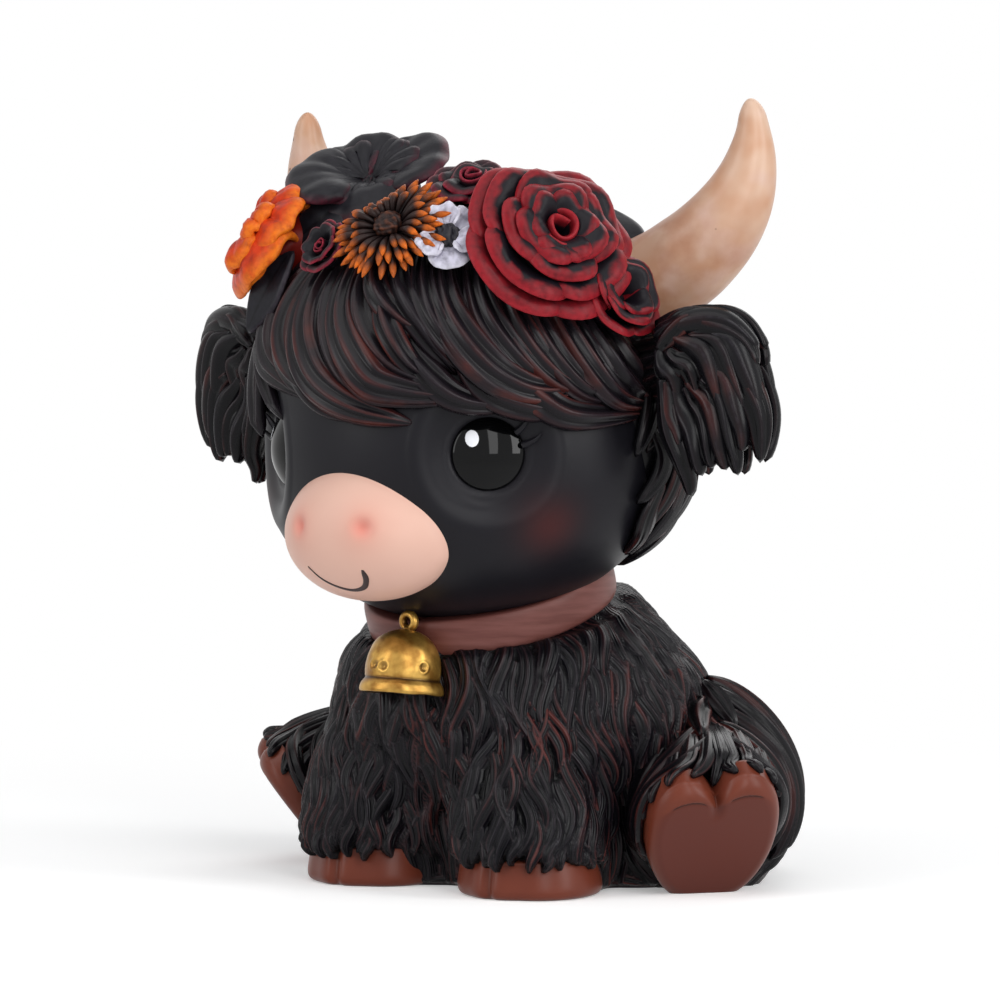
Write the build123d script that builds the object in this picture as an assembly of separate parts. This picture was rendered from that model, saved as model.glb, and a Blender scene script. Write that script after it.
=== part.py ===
from build123d import *
import math
import os

# A sitting calf ornament in cast and painted resin, about 150 mm tall. It faces -Y, its left side is +X,
# and it stands on a flat underside at z = 0 under the middle of its body.
# All lengths are in millimetres and all angles in degrees.

# Whole figure
TOTAL_HEIGHT = 150.0
CUT_OVERRUN = 2.0
GLUE_GAP = 0.15

# Head: an egg pitched brow forward. From its girth, one round cap rises to the crown and one drops
# to the jaw, each joined to the girth by a tangent arc.
HEAD_Y = -15.0
HEAD_Z = 83.0
HEAD_RADIUS = 40.3
HEAD_RISE = 48.0
HEAD_DROP = 32.0
CROWN_RADIUS = 36.0
JAW_RADIUS = 46.0
HEAD_PITCH = 15.0
HEAD_CAVITY_RADIUS = 29.0
HEAD_CAVITY_RAISE = 10.0
HEAD_CAVITY_BACK = 2.0

# Eyes: domed glass cabochons, flat behind, each seated in a shallow dish of the face
EYE_TURN = 41.4
EYE_CLIMB = 0.9
EYE_RADIUS = 6.8
EYE_DOME = 2.2
EYE_SINK = 3.7
EYE_BACK = 1.2
SOCKET_RADIUS = 20.0
LASH_LENGTH = 4.6
LASH_RADIUS = 0.55
LASH_TIP_RADIUS = 0.15
LASH_SLANT = 64.0
LASH_TURNS = (15.0, 38.0)

# Muzzle
MUZZLE_Y = -46.3
MUZZLE_Z = 69.8
MUZZLE_HALF_WIDTH = 18.0
MUZZLE_RADIUS = 13.8
MUZZLE_END_RADIUS = 10.0
NOSTRIL_SPREAD = 7.4
NOSTRIL_RISE = 0.6
NOSTRIL_RADIUS = 3.4
NOSTRIL_DEPTH = 0.8

# Hair on the head
HAIR_DEPTH = 4.0
FRINGE_LEAN = 35.0
FRINGE_LAYER_SHARES = (0.45, 0.72, 1.0)

# Each lock of the fringe runs from a root to a tip, in shares of the head's radius seen from in front.
FRINGE_LOCK_SHARES = (
    ((-1.3, 0.32), (-0.98, 0.12), (-0.88, 0.32), (-0.70, 0.21), (-0.63, 0.32), (-0.50, 0.20),
     (-0.40, 0.38), (-0.19, 0.24), (-0.08, 0.38), (0.13, 0.21), (0.17, 0.30), (0.375, 0.18),
     (0.43, 0.34), (0.62, 0.295), (0.68, 0.42), (0.90, 0.35), (0.94, 0.42), (1.06, 0.22), (1.3, 0.42)),
    ((-1.3, 0.50), (-0.90, 0.30), (-0.80, 0.48), (-0.58, 0.34), (-0.45, 0.52), (-0.28, 0.36),
     (-0.12, 0.54), (0.12, 0.37), (0.22, 0.50), (0.44, 0.40), (0.55, 0.56), (0.78, 0.46),
     (0.85, 0.56), (1.0, 0.38), (1.3, 0.55)),
    ((-1.3, 0.70), (-0.80, 0.50), (-0.64, 0.70), (-0.42, 0.52), (-0.22, 0.74), (0.02, 0.53),
     (0.15, 0.72), (0.38, 0.56), (0.52, 0.75), (0.75, 0.60), (0.88, 0.72), (0.98, 0.54), (1.3, 0.75)),
)
LOCK_BOW_SHARE = 0.16
HAIR_REACH_SHARE = 1.6

# The lower edge of the hair behind the face, in shares of the head's radius seen from the side.
BACK_HAIR_SHARES = (
    (-0.14, 0.20), (-0.03, -0.04), (0.02, -0.20), (0.07, -0.484), (0.13, -0.30), (0.196, -0.352),
    (0.22, -0.42), (0.315, -0.625), (0.38, -0.50), (0.50, -0.64), (0.60, -0.52), (0.80, -0.60),
    (0.88, -0.46), (1.4, -0.52),
)

# Ears: shaggy drooping cushions with a hollowed front
EAR_WIDTH = 22.6
EAR_HEIGHT = 33.5
EAR_THICKNESS = 12.0
EAR_X = 56.3
EAR_Y = -15.0
EAR_Z = 96.0
EAR_TURN = 20.0
EAR_LEAN = 9.0
EAR_ROUND_SHARE = 1.16
EAR_SCOOP_DEPTH = 2.4
EAR_SCOOP_RADIUS = 15.0
EAR_ROOT_TURN = 106.0
EAR_ROOT_CLIMB = 24.0
EAR_ROOT_RADIUS = 7.5
EAR_NECK_RADIUS = 6.0
EAR_OUTLINE_SHARES = (
    (-0.50, 0.16), (-0.30, 0.44), (0.02, 0.52), (0.36, 0.42), (0.52, 0.10), (0.45, -0.16),
    (0.42, -0.38), (0.32, -0.28), (0.27, -0.47), (0.18, -0.36), (0.11, -0.52), (0.0, -0.38),
    (-0.12, -0.48), (-0.20, -0.33), (-0.34, -0.40), (-0.37, -0.22), (-0.50, -0.20),
)

# Horns: the root radius and the elbow's height are shares of the rise from root to tip
HORN_TURN = 107.0
HORN_CLIMB = 44.0
HORN_TIP_SPREAD = 53.3
HORN_ELBOW_SPREAD = 55.5
HORN_ELBOW_BACK = 6.2
HORN_TIP_Y = 1.0
HORN_ROOT_SHARE = 0.254
HORN_ELBOW_SHARE = 0.335
HORN_ROOT_DEPTH_SHARE = 0.2
HORN_TAPER_SHARES = ((0.0, 1.0), (0.28, 0.92), (0.58, 0.72), (0.8, 0.48), (1.0, 0.17))
HORN_PEG_SHARE = 0.42
HORN_PEG_LENGTH = 4.0

# Neck joint and collar: a tilted ring, low in front
NECK_Y = -9.4
NECK_Z = 55.3
NECK_TILT = 18.0
NECK_RADIUS = 22.0
SPIGOT_RADIUS = 7.0
SPIGOT_LENGTH = 3.5
COLLAR_THICKNESS = 2.4
COLLAR_WIDTH = 7.6
COLLAR_EDGE = 0.9

# Bell and its loop
BELL_Y = -37.4
BELL_RIM_Z = 37.9
BELL_RIM_RADIUS = 8.0
BELL_WAIST_RADIUS = 7.0
BELL_HEIGHT = 12.2
BELL_LIP_HEIGHT = 2.4
BELL_GROOVE = 0.5
BELL_TILT = 7.0
LOOP_Y = -34.8
LOOP_Z = 51.6
LOOP_RADIUS = 1.3
LOOP_WIRE_RADIUS = 0.6

# Body, as round sections from the underside to the shoulders: height as a share of the neck's height,
# then shift forward and radius as shares of the body's radius
BODY_RADIUS = 37.5
BODY_Y = 4.0
BODY_SECTION_SHARES = (
    (0.0, 0.0, 0.893), (0.2, 0.0, 0.981), (0.434, 0.027, 1.0), (0.67, 0.06, 0.945), (0.832, 0.173, 0.81),
)
BODY_CAVITY_RADIUS = 27.0
BODY_CAVITY_HALF_HEIGHT = 16.5
BODY_CAVITY_CAP_RADIUS = 40.0
BODY_CAVITY_Z = 23.5
VENT_RADIUS = 1.7

# Front legs: height as a share of the leg's top, then inset and radius as shares of their own sizes
FRONT_LEG_X = 18.2
FRONT_LEG_Y = -21.3
FRONT_LEG_RADIUS = 14.2
FRONT_LEG_TOP_Z = 45.0
FRONT_LEG_TOP_INSET = 4.5
FRONT_LEG_SHARES = ((0.45, 0.2, 0.97), (0.75, 0.6, 0.78), (1.0, 1.0, 0.56))
FRONT_HOOF_HEIGHT = 7.0
FRONT_HOOF_RADIUS = 13.7
FRONT_HOOF_TOP_RADIUS = 12.9
CLEFT_WIDTH = 1.6
CLEFT_DEPTH = 2.6

# Rear legs: thighs beside the body, feet out to the sides with the soles turned up
SPLAY = 53.0
SOLE_TILT = 37.0
SOLE_ROLL = 8.0
SOLE_FOOT_X = 45.5
SOLE_FOOT_Y = -0.5
SOLE_HEIGHT = 27.5
SOLE_HALF_WIDTH = 12.4
SOLE_FLOOR_HALF_WIDTH = 7.4
SOLE_WIDEST = 16.5
SOLE_NOTCH_DEPTH = 4.8
SOLE_SIDE_SHARE = 0.9
SOLE_CROWN_SHARE = 0.52
REAR_HOOF_DEPTH = 6.0
THIGH_X = 33.0
THIGH_Y = 12.0
THIGH_Z = 18.5
THIGH_RADIUS = 20.0
THIGH_ROOT_X = 15.0
THIGH_ROOT_Y = 16.0
THIGH_ROOT_RADIUS = 14.0
SHIN_X = 42.0
SHIN_Y = 5.5
SHIN_Z = 15.0
SHIN_RADIUS = 15.5
ANKLE_RADIUS = 13.0

# Tail: from the middle of the back round to a tuft on the left hip, in shares of the body's radius
TAIL_POINT_SHARES = ((0.05, 1.04, 0.21), (0.84, 1.12, 0.21), (1.20, 0.56, 0.78))
TAIL_RADIUS = 5.0
TAIL_TAPER_SHARES = ((0.0, 0.75), (0.35, 0.62), (0.6, 0.85), (0.78, 1.0), (0.92, 0.62), (1.0, 0.12))

# Flowers: every petal layer is a piece of a thin bowl cut to a scalloped or rayed outline
PETAL_THICKNESS = 1.3
CALYX_SHARE = 0.55
CALYX_LENGTH_SHARE = 0.5
PETAL_NOTCH_SHARE = 0.1
RAY_ROOT_SHARE = 0.55
ROSE_LARGE_RADIUS = 16.0
ROSE_SMALL_RADIUS = 8.6
ROSE_DARK_RADIUS = 9.5
ROSE_BUD_RADIUS = 5.6
GERBERA_RADIUS = 11.8
GERBERA_RAYS = 26
GERBERA_EYE_RADIUS = 3.0
GERBERA_EYE_HEIGHT = 1.8
ANEMONE_RADIUS = 6.4
ANEMONE_PETALS = 7
ANEMONE_RISE_SHARE = 0.25
ANEMONE_EYE_RADIUS = 2.2
POPPY_BLACK_RADIUS = 15.3
POPPY_ORANGE_RADIUS = 12.0
POPPY_EYE_SHARE = 0.2

# Layers of a flower from the outside in: radius, rise and base as shares of the flower's radius,
# the petals, and the turn of the layer
ROSE_LAYERS = ((1.0, 0.34, 0.0, 7), (0.76, 0.50, 0.10, 5))
ROSE_LAYER_TURN = 26.0
ROSE_CORE_SHARE = 0.45
ROSE_HEART_SHARE = 0.40
BUD_LAYERS = ((1.0, 0.75, 0.0, 3), (0.75, 0.80, 0.25, 3))
BUD_CORE_SHARE = 0.5
BUD_LAYER_TURN = 60.0
GERBERA_RISE_SHARE = 0.16
POPPY_LAYERS = ((1.0, 0.32, 0.0, 4), (0.78, 0.4, 0.07, 4))
POPPY_LAYER_TURN = 45.0

# Where each flower sits on the head: turn and climb of its ray, nod toward the brow, spin,
# and lift as a share of its radius
FLOWER_SPOTS = {
    "rose_large": (58.4, 49.0, 10.0, 10.0, 0.19),
    "rose_small": (76.4, 36.5, 4.0, 30.0, 0.24),
    "rose_dark": (37.6, 66.6, 4.0, 50.0, 0.15),
    "rose_bud": (-12.9, 48.2, 12.0, 0.0, 0.25),
    "gerbera": (10.8, 52.1, 10.0, 0.0, 0.30),
    "anemone": (29.2, 50.5, 12.0, 20.0, 0.51),
    "poppy_black": (-62.0, 69.5, 8.0, 20.0, 0.14),
    "poppy_orange": (-52.0, 50.0, 0.0, 35.0, 0.33),
}

# Leaves lie on the hair under the flowers: turn, climb and spin of each
LEAF_LENGTH = 19.0
LEAF_WIDTH = 8.5
LEAF_THICKNESS = 1.2
LEAF_SPOTS = (
    (120.0, 53.0, 20.0),
    (95.0, 38.0, -40.0),
    (-62.0, 30.0, -60.0),
    (-85.0, 52.0, 10.0),
    (150.0, 72.0, 60.0),
    (-150.0, 76.0, 110.0),
)


def polar(radius, angle):
    """Point on a circle about the origin."""
    return (radius * math.cos(math.radians(angle)), radius * math.sin(math.radians(angle)))


def side_radius(girth, height, cap):
    """Radius of the arc that leaves the girth upright and runs on into a cap at `height`."""
    return (girth**2 + height**2 - 2 * height * cap) / (2 * (girth - cap))


def meeting_angle(girth, height, cap):
    """Angle above the girth, about the side arc's middle, where the side arc meets the cap."""
    side = side_radius(girth, height, cap)
    return math.atan2((height - cap) * math.copysign(1, side - cap), abs(girth - side))


def quarter_oval(girth, height, cap, sign):
    """Two tangent arcs from the girth to the pole, upward for sign 1 and downward for -1."""
    side = side_radius(girth, height, cap)
    side_x = girth - side
    angle = meeting_angle(girth, height, cap)
    meet = (side_x + side * math.cos(angle), side * math.sin(angle))
    half_side = (side_x + side * math.cos(angle / 2), side * math.sin(angle / 2))
    half_angle = (angle + math.pi / 2) / 2
    half_cap = (cap * math.cos(half_angle), height - cap + cap * math.sin(half_angle))
    points = [(girth, 0), half_side, meet, half_cap, (0, height)]
    points = [(x, sign * y) for x, y in points]
    return [ThreePointArc(*points[:3]), ThreePointArc(*points[2:])]


def egg_form(girth, rise, rise_cap, drop, drop_cap):
    """Round solid about Z with its girth at z = 0."""
    edges = quarter_oval(girth, rise, rise_cap, 1) + quarter_oval(girth, drop, drop_cap, -1)
    edges.append(Line((0, rise), (0, -drop)))
    return revolve(Plane.XZ * make_face(edges), Axis.Z)


def oval_point(girth, height, cap, slope):
    """Where a ray at `slope` above the girth, from the middle, leaves the oval: its length,
    and the outward normal there as a share across and a share up."""
    across, up = math.cos(slope), math.sin(slope)
    side = side_radius(girth, height, cap)
    angle = meeting_angle(girth, height, cap)
    meet_slope = math.atan2(side * math.sin(angle), girth - side + side * math.cos(angle))
    if slope > meet_slope:
        centre_x, centre_y, radius = 0, height - cap, cap
    else:
        centre_x, centre_y, radius = girth - side, 0, side
    along = across * centre_x + up * centre_y
    reach = along + math.sqrt(along**2 - centre_x**2 - centre_y**2 + radius**2)
    return reach, (reach * across - centre_x) / radius, (reach * up - centre_y) / radius


def head_location():
    """The head's own axes: Z up the head, leaning forward by its pitch."""
    return Pos(0, HEAD_Y, HEAD_Z) * Rot(HEAD_PITCH, 0, 0)


def head_egg(proud):
    """The head's outer form, grown by `proud` all round."""
    sizes = [size + proud for size in (HEAD_RADIUS, HEAD_RISE, CROWN_RADIUS, HEAD_DROP, JAW_RADIUS)]
    return head_location() * egg_form(*sizes)


def plane_on_head(turn, climb, proud):
    """Plane that touches the head grown by `proud`, where a ray from its middle leaves it.
    The ray goes `turn` from straight ahead toward the left and `climb` up; Z is the outward normal."""
    t, c, p = math.radians(turn), math.radians(climb), math.radians(HEAD_PITCH)
    ray = Vector(math.sin(t) * math.cos(c), -math.cos(t) * math.cos(c), math.sin(c))
    side_axis = Vector(1, 0, 0)
    back_axis = Vector(0, math.cos(p), math.sin(p))
    up_axis = Vector(0, -math.sin(p), math.cos(p))
    x, y, z = ray.dot(side_axis), ray.dot(back_axis), ray.dot(up_axis)
    height, cap = (HEAD_RISE, CROWN_RADIUS) if z > 0 else (HEAD_DROP, JAW_RADIUS)
    flat = math.hypot(x, y)
    slope = math.atan2(abs(z), flat)
    reach, across, up = oval_point(HEAD_RADIUS + proud, height + proud, cap + proud, slope)
    level = (side_axis * x + back_axis * y).normalized()
    normal = level * across + up_axis * math.copysign(up, z)
    east = Vector(math.cos(t), math.sin(t), 0)
    north = normal.cross(east).normalized()
    origin = Vector(0, HEAD_Y, HEAD_Z) + ray * reach
    return Plane(origin=origin, x_dir=north.cross(normal), z_dir=normal)


def bezier_point(points, t):
    """Point at `t` on the quadratic curve that three points control."""
    a, b, c = (Vector(*p) for p in points)
    return a * (1 - t)**2 + b * (2 * t * (1 - t)) + c * t**2


def bezier_heading(points, t):
    """Direction of that curve at `t`."""
    a, b, c = (Vector(*p) for p in points)
    return ((b - a) * (1 - t) + (c - b) * t).normalized()


def bent_taper(points, radius, taper_shares):
    """Round loft along a quadratic curve, `radius` times a share thick at each stop."""
    rings = []
    for stop, share in taper_shares:
        plane = Plane(origin=bezier_point(points, stop), z_dir=bezier_heading(points, stop))
        rings.append(plane * Circle(radius * share))
    return loft(rings)


def below_floor():
    """Block under z = 0 that trims whatever stands on the floor."""
    return Pos(0, 0, -TOTAL_HEIGHT / 2) * Box(TOTAL_HEIGHT * 2, TOTAL_HEIGHT * 2, TOTAL_HEIGHT)


def neck_plane():
    """The tilted plane where head and body are joined, low in front."""
    tilt = math.radians(NECK_TILT)
    normal = (0, -math.sin(tilt), math.cos(tilt))
    return Plane(origin=(0, NECK_Y, NECK_Z), x_dir=(1, 0, 0), z_dir=normal)


def neck_cylinder(radius, low, high):
    """Cylinder square to the neck plane, between two heights above it."""
    middle = (low + high) / 2
    return neck_plane().location * Pos(0, 0, middle) * Cylinder(radius, high - low)


def body_outside():
    """Round loft from the underside to the neck plane."""
    rings = []
    for rise_share, forward_share, radius_share in BODY_SECTION_SHARES:
        middle = Pos(0, BODY_Y - BODY_RADIUS * forward_share, NECK_Z * rise_share)
        rings.append(middle * Circle(BODY_RADIUS * radius_share))
    rings.append(neck_plane().location * Circle(NECK_RADIUS))
    return loft(rings)


def body_core():
    """The hollow of the body casting, closed but for its vent."""
    half = (BODY_CAVITY_HALF_HEIGHT, BODY_CAVITY_CAP_RADIUS)
    hollow = egg_form(BODY_CAVITY_RADIUS, *half, *half)
    vent = Pos(0, 0, BODY_CAVITY_Z / 2) * Cylinder(VENT_RADIUS, BODY_CAVITY_Z + CUT_OVERRUN)
    return Pos(0, BODY_Y, BODY_CAVITY_Z) * hollow + Pos(0, BODY_Y, 0) * vent


def make_front_leg(body):
    """Left front leg: a column that leans into the chest."""
    rings = [Pos(FRONT_LEG_X, FRONT_LEG_Y, FRONT_HOOF_HEIGHT) * Circle(FRONT_LEG_RADIUS)]
    for rise_share, inset_share, radius_share in FRONT_LEG_SHARES:
        inset = FRONT_LEG_TOP_INSET * inset_share
        middle = Pos(FRONT_LEG_X - inset, FRONT_LEG_Y + inset, FRONT_LEG_TOP_Z * rise_share)
        rings.append(middle * Circle(FRONT_LEG_RADIUS * radius_share))
    return loft(rings) - body


def make_front_hoof(body):
    """Left front hoof: a low tapered block, cloven in front."""
    block = Pos(FRONT_LEG_X, FRONT_LEG_Y, FRONT_HOOF_HEIGHT / 2) * Cone(
        FRONT_HOOF_RADIUS, FRONT_HOOF_TOP_RADIUS, FRONT_HOOF_HEIGHT
    )
    cleft_y = FRONT_LEG_Y - FRONT_HOOF_RADIUS
    cleft = Pos(FRONT_LEG_X, cleft_y, FRONT_HOOF_HEIGHT / 2) * Box(
        CLEFT_WIDTH, CLEFT_DEPTH * 2, FRONT_HOOF_HEIGHT + CUT_OVERRUN
    )
    return block - cleft - body


def sole_location():
    """The left sole's own axes: X across it, Y up it, Z out of it, from where it meets the floor."""
    s, t = math.radians(SPLAY), math.radians(SOLE_TILT)
    out = (math.sin(s) * math.cos(t), -math.cos(s) * math.cos(t), -math.sin(t))
    plane = Plane(
        origin=(SOLE_FOOT_X, SOLE_FOOT_Y, 0), x_dir=(math.cos(s), math.sin(s), 0), z_dir=out
    )
    return plane.location * Rot(0, 0, SOLE_ROLL)


def sole_face():
    """Outline of the rear sole: two lobes above a broad low end that the floor cuts flat."""
    notch = (0, SOLE_HEIGHT - SOLE_NOTCH_DEPTH)
    left, right = (-SOLE_FLOOR_HALF_WIDTH, 0), (SOLE_FLOOR_HALF_WIDTH, 0)
    edges = [ThreePointArc(left, (0, -SOLE_FLOOR_HALF_WIDTH / 2), right)]
    for side, foot in ((-1, left), (1, right)):
        flank = (side * SOLE_HALF_WIDTH * SOLE_SIDE_SHARE, SOLE_WIDEST / 3)
        wide = (side * SOLE_HALF_WIDTH, SOLE_WIDEST)
        crown = (side * SOLE_HALF_WIDTH * SOLE_CROWN_SHARE, SOLE_HEIGHT)
        edges += [ThreePointArc(foot, flank, wide), ThreePointArc(wide, crown, notch)]
    return make_face(edges)


def make_rear_hoof():
    """Left rear hoof: the sole's outline carried back into the leg, flat on the floor."""
    return sole_location() * extrude(sole_face(), -REAR_HOOF_DEPTH) - below_floor()


def make_rear_leg(body, front_leg, hoof):
    """Left rear leg: thigh, shin and ankle as one round loft, flat on the floor."""
    ankle = sole_location() * Pos(0, SOLE_HEIGHT / 2, -REAR_HOOF_DEPTH)
    shin_heading = (SHIN_X - THIGH_X, SHIN_Y - THIGH_Y, 0)
    thigh_heading = (SHIN_X - THIGH_ROOT_X, SHIN_Y - THIGH_ROOT_Y, 0)
    root_heading = (THIGH_X - THIGH_ROOT_X, THIGH_Y - THIGH_ROOT_Y, 0)
    rings = [
        Plane(origin=(THIGH_ROOT_X, THIGH_ROOT_Y, THIGH_Z), z_dir=root_heading)
        * Circle(THIGH_ROOT_RADIUS),
        Plane(origin=(THIGH_X, THIGH_Y, THIGH_Z), z_dir=thigh_heading) * Circle(THIGH_RADIUS),
        Plane(origin=(SHIN_X, SHIN_Y, SHIN_Z), z_dir=shin_heading) * Circle(SHIN_RADIUS),
        ankle * Circle(ANKLE_RADIUS),
    ]
    return loft(rings) - body - front_leg - hoof - below_floor()


def make_tail(body, rear_leg):
    """Tail laid round the left hip, thick at its tuft and pointed at its tip."""
    points = [tuple(BODY_RADIUS * share for share in spot) for spot in TAIL_POINT_SHARES]
    tail = bent_taper(points, TAIL_RADIUS, TAIL_TAPER_SHARES)
    return tail - body - rear_leg - below_floor()


def horn_rise():
    """How far the tip stands above the middle of the horn's root."""
    return TOTAL_HEIGHT - plane_on_head(HORN_TURN, HORN_CLIMB, 0).origin.Z


def horn_points():
    """Root, elbow and tip of the left horn's middle line."""
    root = plane_on_head(HORN_TURN, HORN_CLIMB, 0).origin
    tip_radius = horn_rise() * HORN_ROOT_SHARE * HORN_TAPER_SHARES[-1][1]
    elbow_y = (root.Y + HORN_TIP_Y) / 2 + HORN_ELBOW_BACK
    elbow = (HORN_ELBOW_SPREAD, elbow_y, root.Z + horn_rise() * HORN_ELBOW_SHARE)
    tip = (HORN_TIP_SPREAD, HORN_TIP_Y, TOTAL_HEIGHT - tip_radius)
    return (root.X, root.Y, root.Z), elbow, tip


def horn_peg(radius, length):
    """Peg that runs from the horn's root into the head."""
    points = horn_points()
    heading = bezier_heading(points, 0)
    foot = Vector(*points[0]) - heading * length
    peg = Plane(origin=foot, z_dir=heading).location * Cylinder(
        radius, length + CUT_OVERRUN, align=(Align.CENTER, Align.CENTER, Align.MIN)
    )
    return peg


def make_horn(head_form):
    """Left horn: a bent taper with a round tip, seated on the head with a peg behind it."""
    points = horn_points()
    tapers = ((-HORN_ROOT_DEPTH_SHARE, 1.0),) + HORN_TAPER_SHARES
    root_radius = horn_rise() * HORN_ROOT_SHARE
    tip = Pos(*points[2]) * Sphere(root_radius * HORN_TAPER_SHARES[-1][1])
    horn = bent_taper(points, root_radius, tapers) + tip - head_form
    return horn + horn_peg(root_radius * HORN_PEG_SHARE, HORN_PEG_LENGTH)


def eye_location():
    """Middle of the left eye's rim, with Z out of the face."""
    return plane_on_head(EYE_TURN, EYE_CLIMB, 0).location * Pos(0, 0, -EYE_SINK)


def make_eye():
    """Left eye: a shallow dome on a short round wall, flat behind."""
    rim = (EYE_RADIUS, 0)
    back_rim = (EYE_RADIUS, -EYE_BACK)
    dome = RadiusArc(rim, (0, EYE_DOME), -(EYE_RADIUS**2 + EYE_DOME**2) / (2 * EYE_DOME))
    edges = [Line((0, -EYE_BACK), back_rim), Line(back_rim, rim), dome, Line((0, EYE_DOME), (0, -EYE_BACK))]
    return eye_location() * revolve(Plane.XZ * make_face(edges), Axis.Z)


def eye_socket():
    """Shallow dish round the left eye, as deep as the eye's flat back."""
    return eye_location() * Pos(0, 0, SOCKET_RADIUS - EYE_BACK) * Sphere(SOCKET_RADIUS)


def make_lashes(head, eye):
    """Two raised strokes that flick up and out from the left eye."""
    strokes = Part()
    for angle in LASH_TURNS:
        root = eye_location() * Rot(0, 0, angle) * Pos(EYE_RADIUS - LASH_RADIUS, 0, LASH_RADIUS)
        strokes += root * Rot(0, LASH_SLANT, 0) * Cone(
            LASH_RADIUS, LASH_TIP_RADIUS, LASH_LENGTH, align=(Align.CENTER, Align.CENTER, Align.MIN)
        )
    return strokes - head - eye


def muzzle_form():
    """Oval of the muzzle, round about X, before the head is cut from it."""
    half = (MUZZLE_HALF_WIDTH, MUZZLE_END_RADIUS)
    return Pos(0, MUZZLE_Y, MUZZLE_Z) * Rot(0, 90, 0) * egg_form(MUZZLE_RADIUS, *half, *half)


def make_muzzle(head_form):
    """Muzzle with two soft nostril dimples."""
    muzzle = muzzle_form() - head_form
    for side in (1, -1):
        bulge = side_radius(MUZZLE_RADIUS, MUZZLE_HALF_WIDTH, MUZZLE_END_RADIUS)
        girth_here = MUZZLE_RADIUS - bulge + math.sqrt(bulge**2 - NOSTRIL_SPREAD**2)
        reach = math.sqrt(girth_here**2 - NOSTRIL_RISE**2)
        dimple_y = MUZZLE_Y - reach - NOSTRIL_RADIUS + NOSTRIL_DEPTH
        spot = Pos(side * NOSTRIL_SPREAD, dimple_y, MUZZLE_Z + NOSTRIL_RISE)
        muzzle -= spot * Sphere(NOSTRIL_RADIUS)
    return muzzle


def make_head(eyes, sockets):
    """Hollow head, flat where it meets the body, with its sockets."""
    head = head_egg(0) - neck_cylinder(HEAD_RADIUS, -HEAD_DROP, 0)
    cavity = Pos(0, HEAD_Y + HEAD_CAVITY_BACK, HEAD_Z + HEAD_CAVITY_RAISE)
    head -= cavity * Sphere(HEAD_CAVITY_RADIUS)
    head -= neck_cylinder(SPIGOT_RADIUS + GLUE_GAP, -CUT_OVERRUN, SPIGOT_LENGTH + GLUE_GAP)
    peg_radius = horn_rise() * HORN_ROOT_SHARE * HORN_PEG_SHARE
    peg_hole = horn_peg(peg_radius + GLUE_GAP, HORN_PEG_LENGTH + GLUE_GAP)
    head = head - peg_hole - mirror(peg_hole, about=Plane.YZ)
    for socket in sockets:
        head -= socket
    for eye in eyes:
        head -= eye
    return head


def lock_edge(shares):
    """Chain of arcs through points given as shares of the head's radius, each lock bowed outward."""
    edges = []
    for start, end in zip(shares, shares[1:]):
        a = Vector(start[0], start[1]) * HEAD_RADIUS
        b = Vector(end[0], end[1]) * HEAD_RADIUS
        falling = end[1] < start[1]
        bow = (b - a).length * LOCK_BOW_SHARE * (1 if falling else -1)
        edges.append(SagittaArc(a, b, bow))
    return edges


def hair_face(shares, outer_x):
    """Flat view of the hair above a jagged lower edge, closed above the head and out to `outer_x`."""
    top = HAIR_REACH_SHARE * HEAD_RADIUS
    first = (shares[0][0] * HEAD_RADIUS, shares[0][1] * HEAD_RADIUS)
    last = (shares[-1][0] * HEAD_RADIUS, shares[-1][1] * HEAD_RADIUS)
    corners = [last, (last[0], top), (outer_x, top), (outer_x, first[1])]
    closing = [Line(a, b) for a, b in zip(corners, corners[1:])]
    if outer_x != first[0]:
        closing.append(Line(corners[-1], first))
    return make_face(lock_edge(shares) + closing)


def cut_away(piece, cutters):
    """The piece without the room that its neighbours fill. Only those whose boxes meet it are cut."""
    for cutter in cutters:
        if piece.bounding_box().overlaps(cutter.bounding_box()):
            piece -= cutter
    return piece


def front_half():
    """Block in front of the plane that parts the fringe from the hair behind it."""
    size = HEAD_RADIUS * 4
    return Pos(0, HEAD_Y, HEAD_Z) * Rot(FRINGE_LEAN, 0, 0) * Pos(0, -size / 2, 0) * Box(size, size, size)


def make_fringe(head_form, cutters):
    """Three stacked layers of pointed locks, each prouder and shorter than the one below."""
    fringe = Part()
    for share, shares in zip(FRINGE_LAYER_SHARES, FRINGE_LOCK_SHARES):
        outline = Pos(0, HEAD_Y, HEAD_Z) * (Plane.XZ * hair_face(shares, shares[0][0] * HEAD_RADIUS))
        reach = extrude(outline, HEAD_RADIUS * 2, dir=(0, -1, 0))
        fringe += head_egg(HAIR_DEPTH * share) & reach
    return cut_away((fringe & front_half()) - head_form, cutters)


def make_back_hair(head_form, cutters):
    """Hair over the crown, the sides and the nape."""
    outline = Plane.YZ * hair_face(BACK_HAIR_SHARES, -HAIR_REACH_SHARE * HEAD_RADIUS)
    reach = extrude(Pos(0, HEAD_Y, HEAD_Z) * outline, HEAD_RADIUS * 2, both=True)
    return largest_solid(cut_away((head_egg(HAIR_DEPTH) & reach) - front_half() - head_form, cutters))


def ear_location():
    """Middle of the left ear, with X outward, Y up the ear and Z out of its hollow."""
    plane = Plane(
        origin=(EAR_X, EAR_Y, EAR_Z),
        x_dir=(math.cos(math.radians(EAR_TURN)), math.sin(math.radians(EAR_TURN)), 0),
        z_dir=(math.sin(math.radians(EAR_TURN)), -math.cos(math.radians(EAR_TURN)), 0),
    )
    return plane.location * Rot(0, 0, EAR_LEAN)


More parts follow.
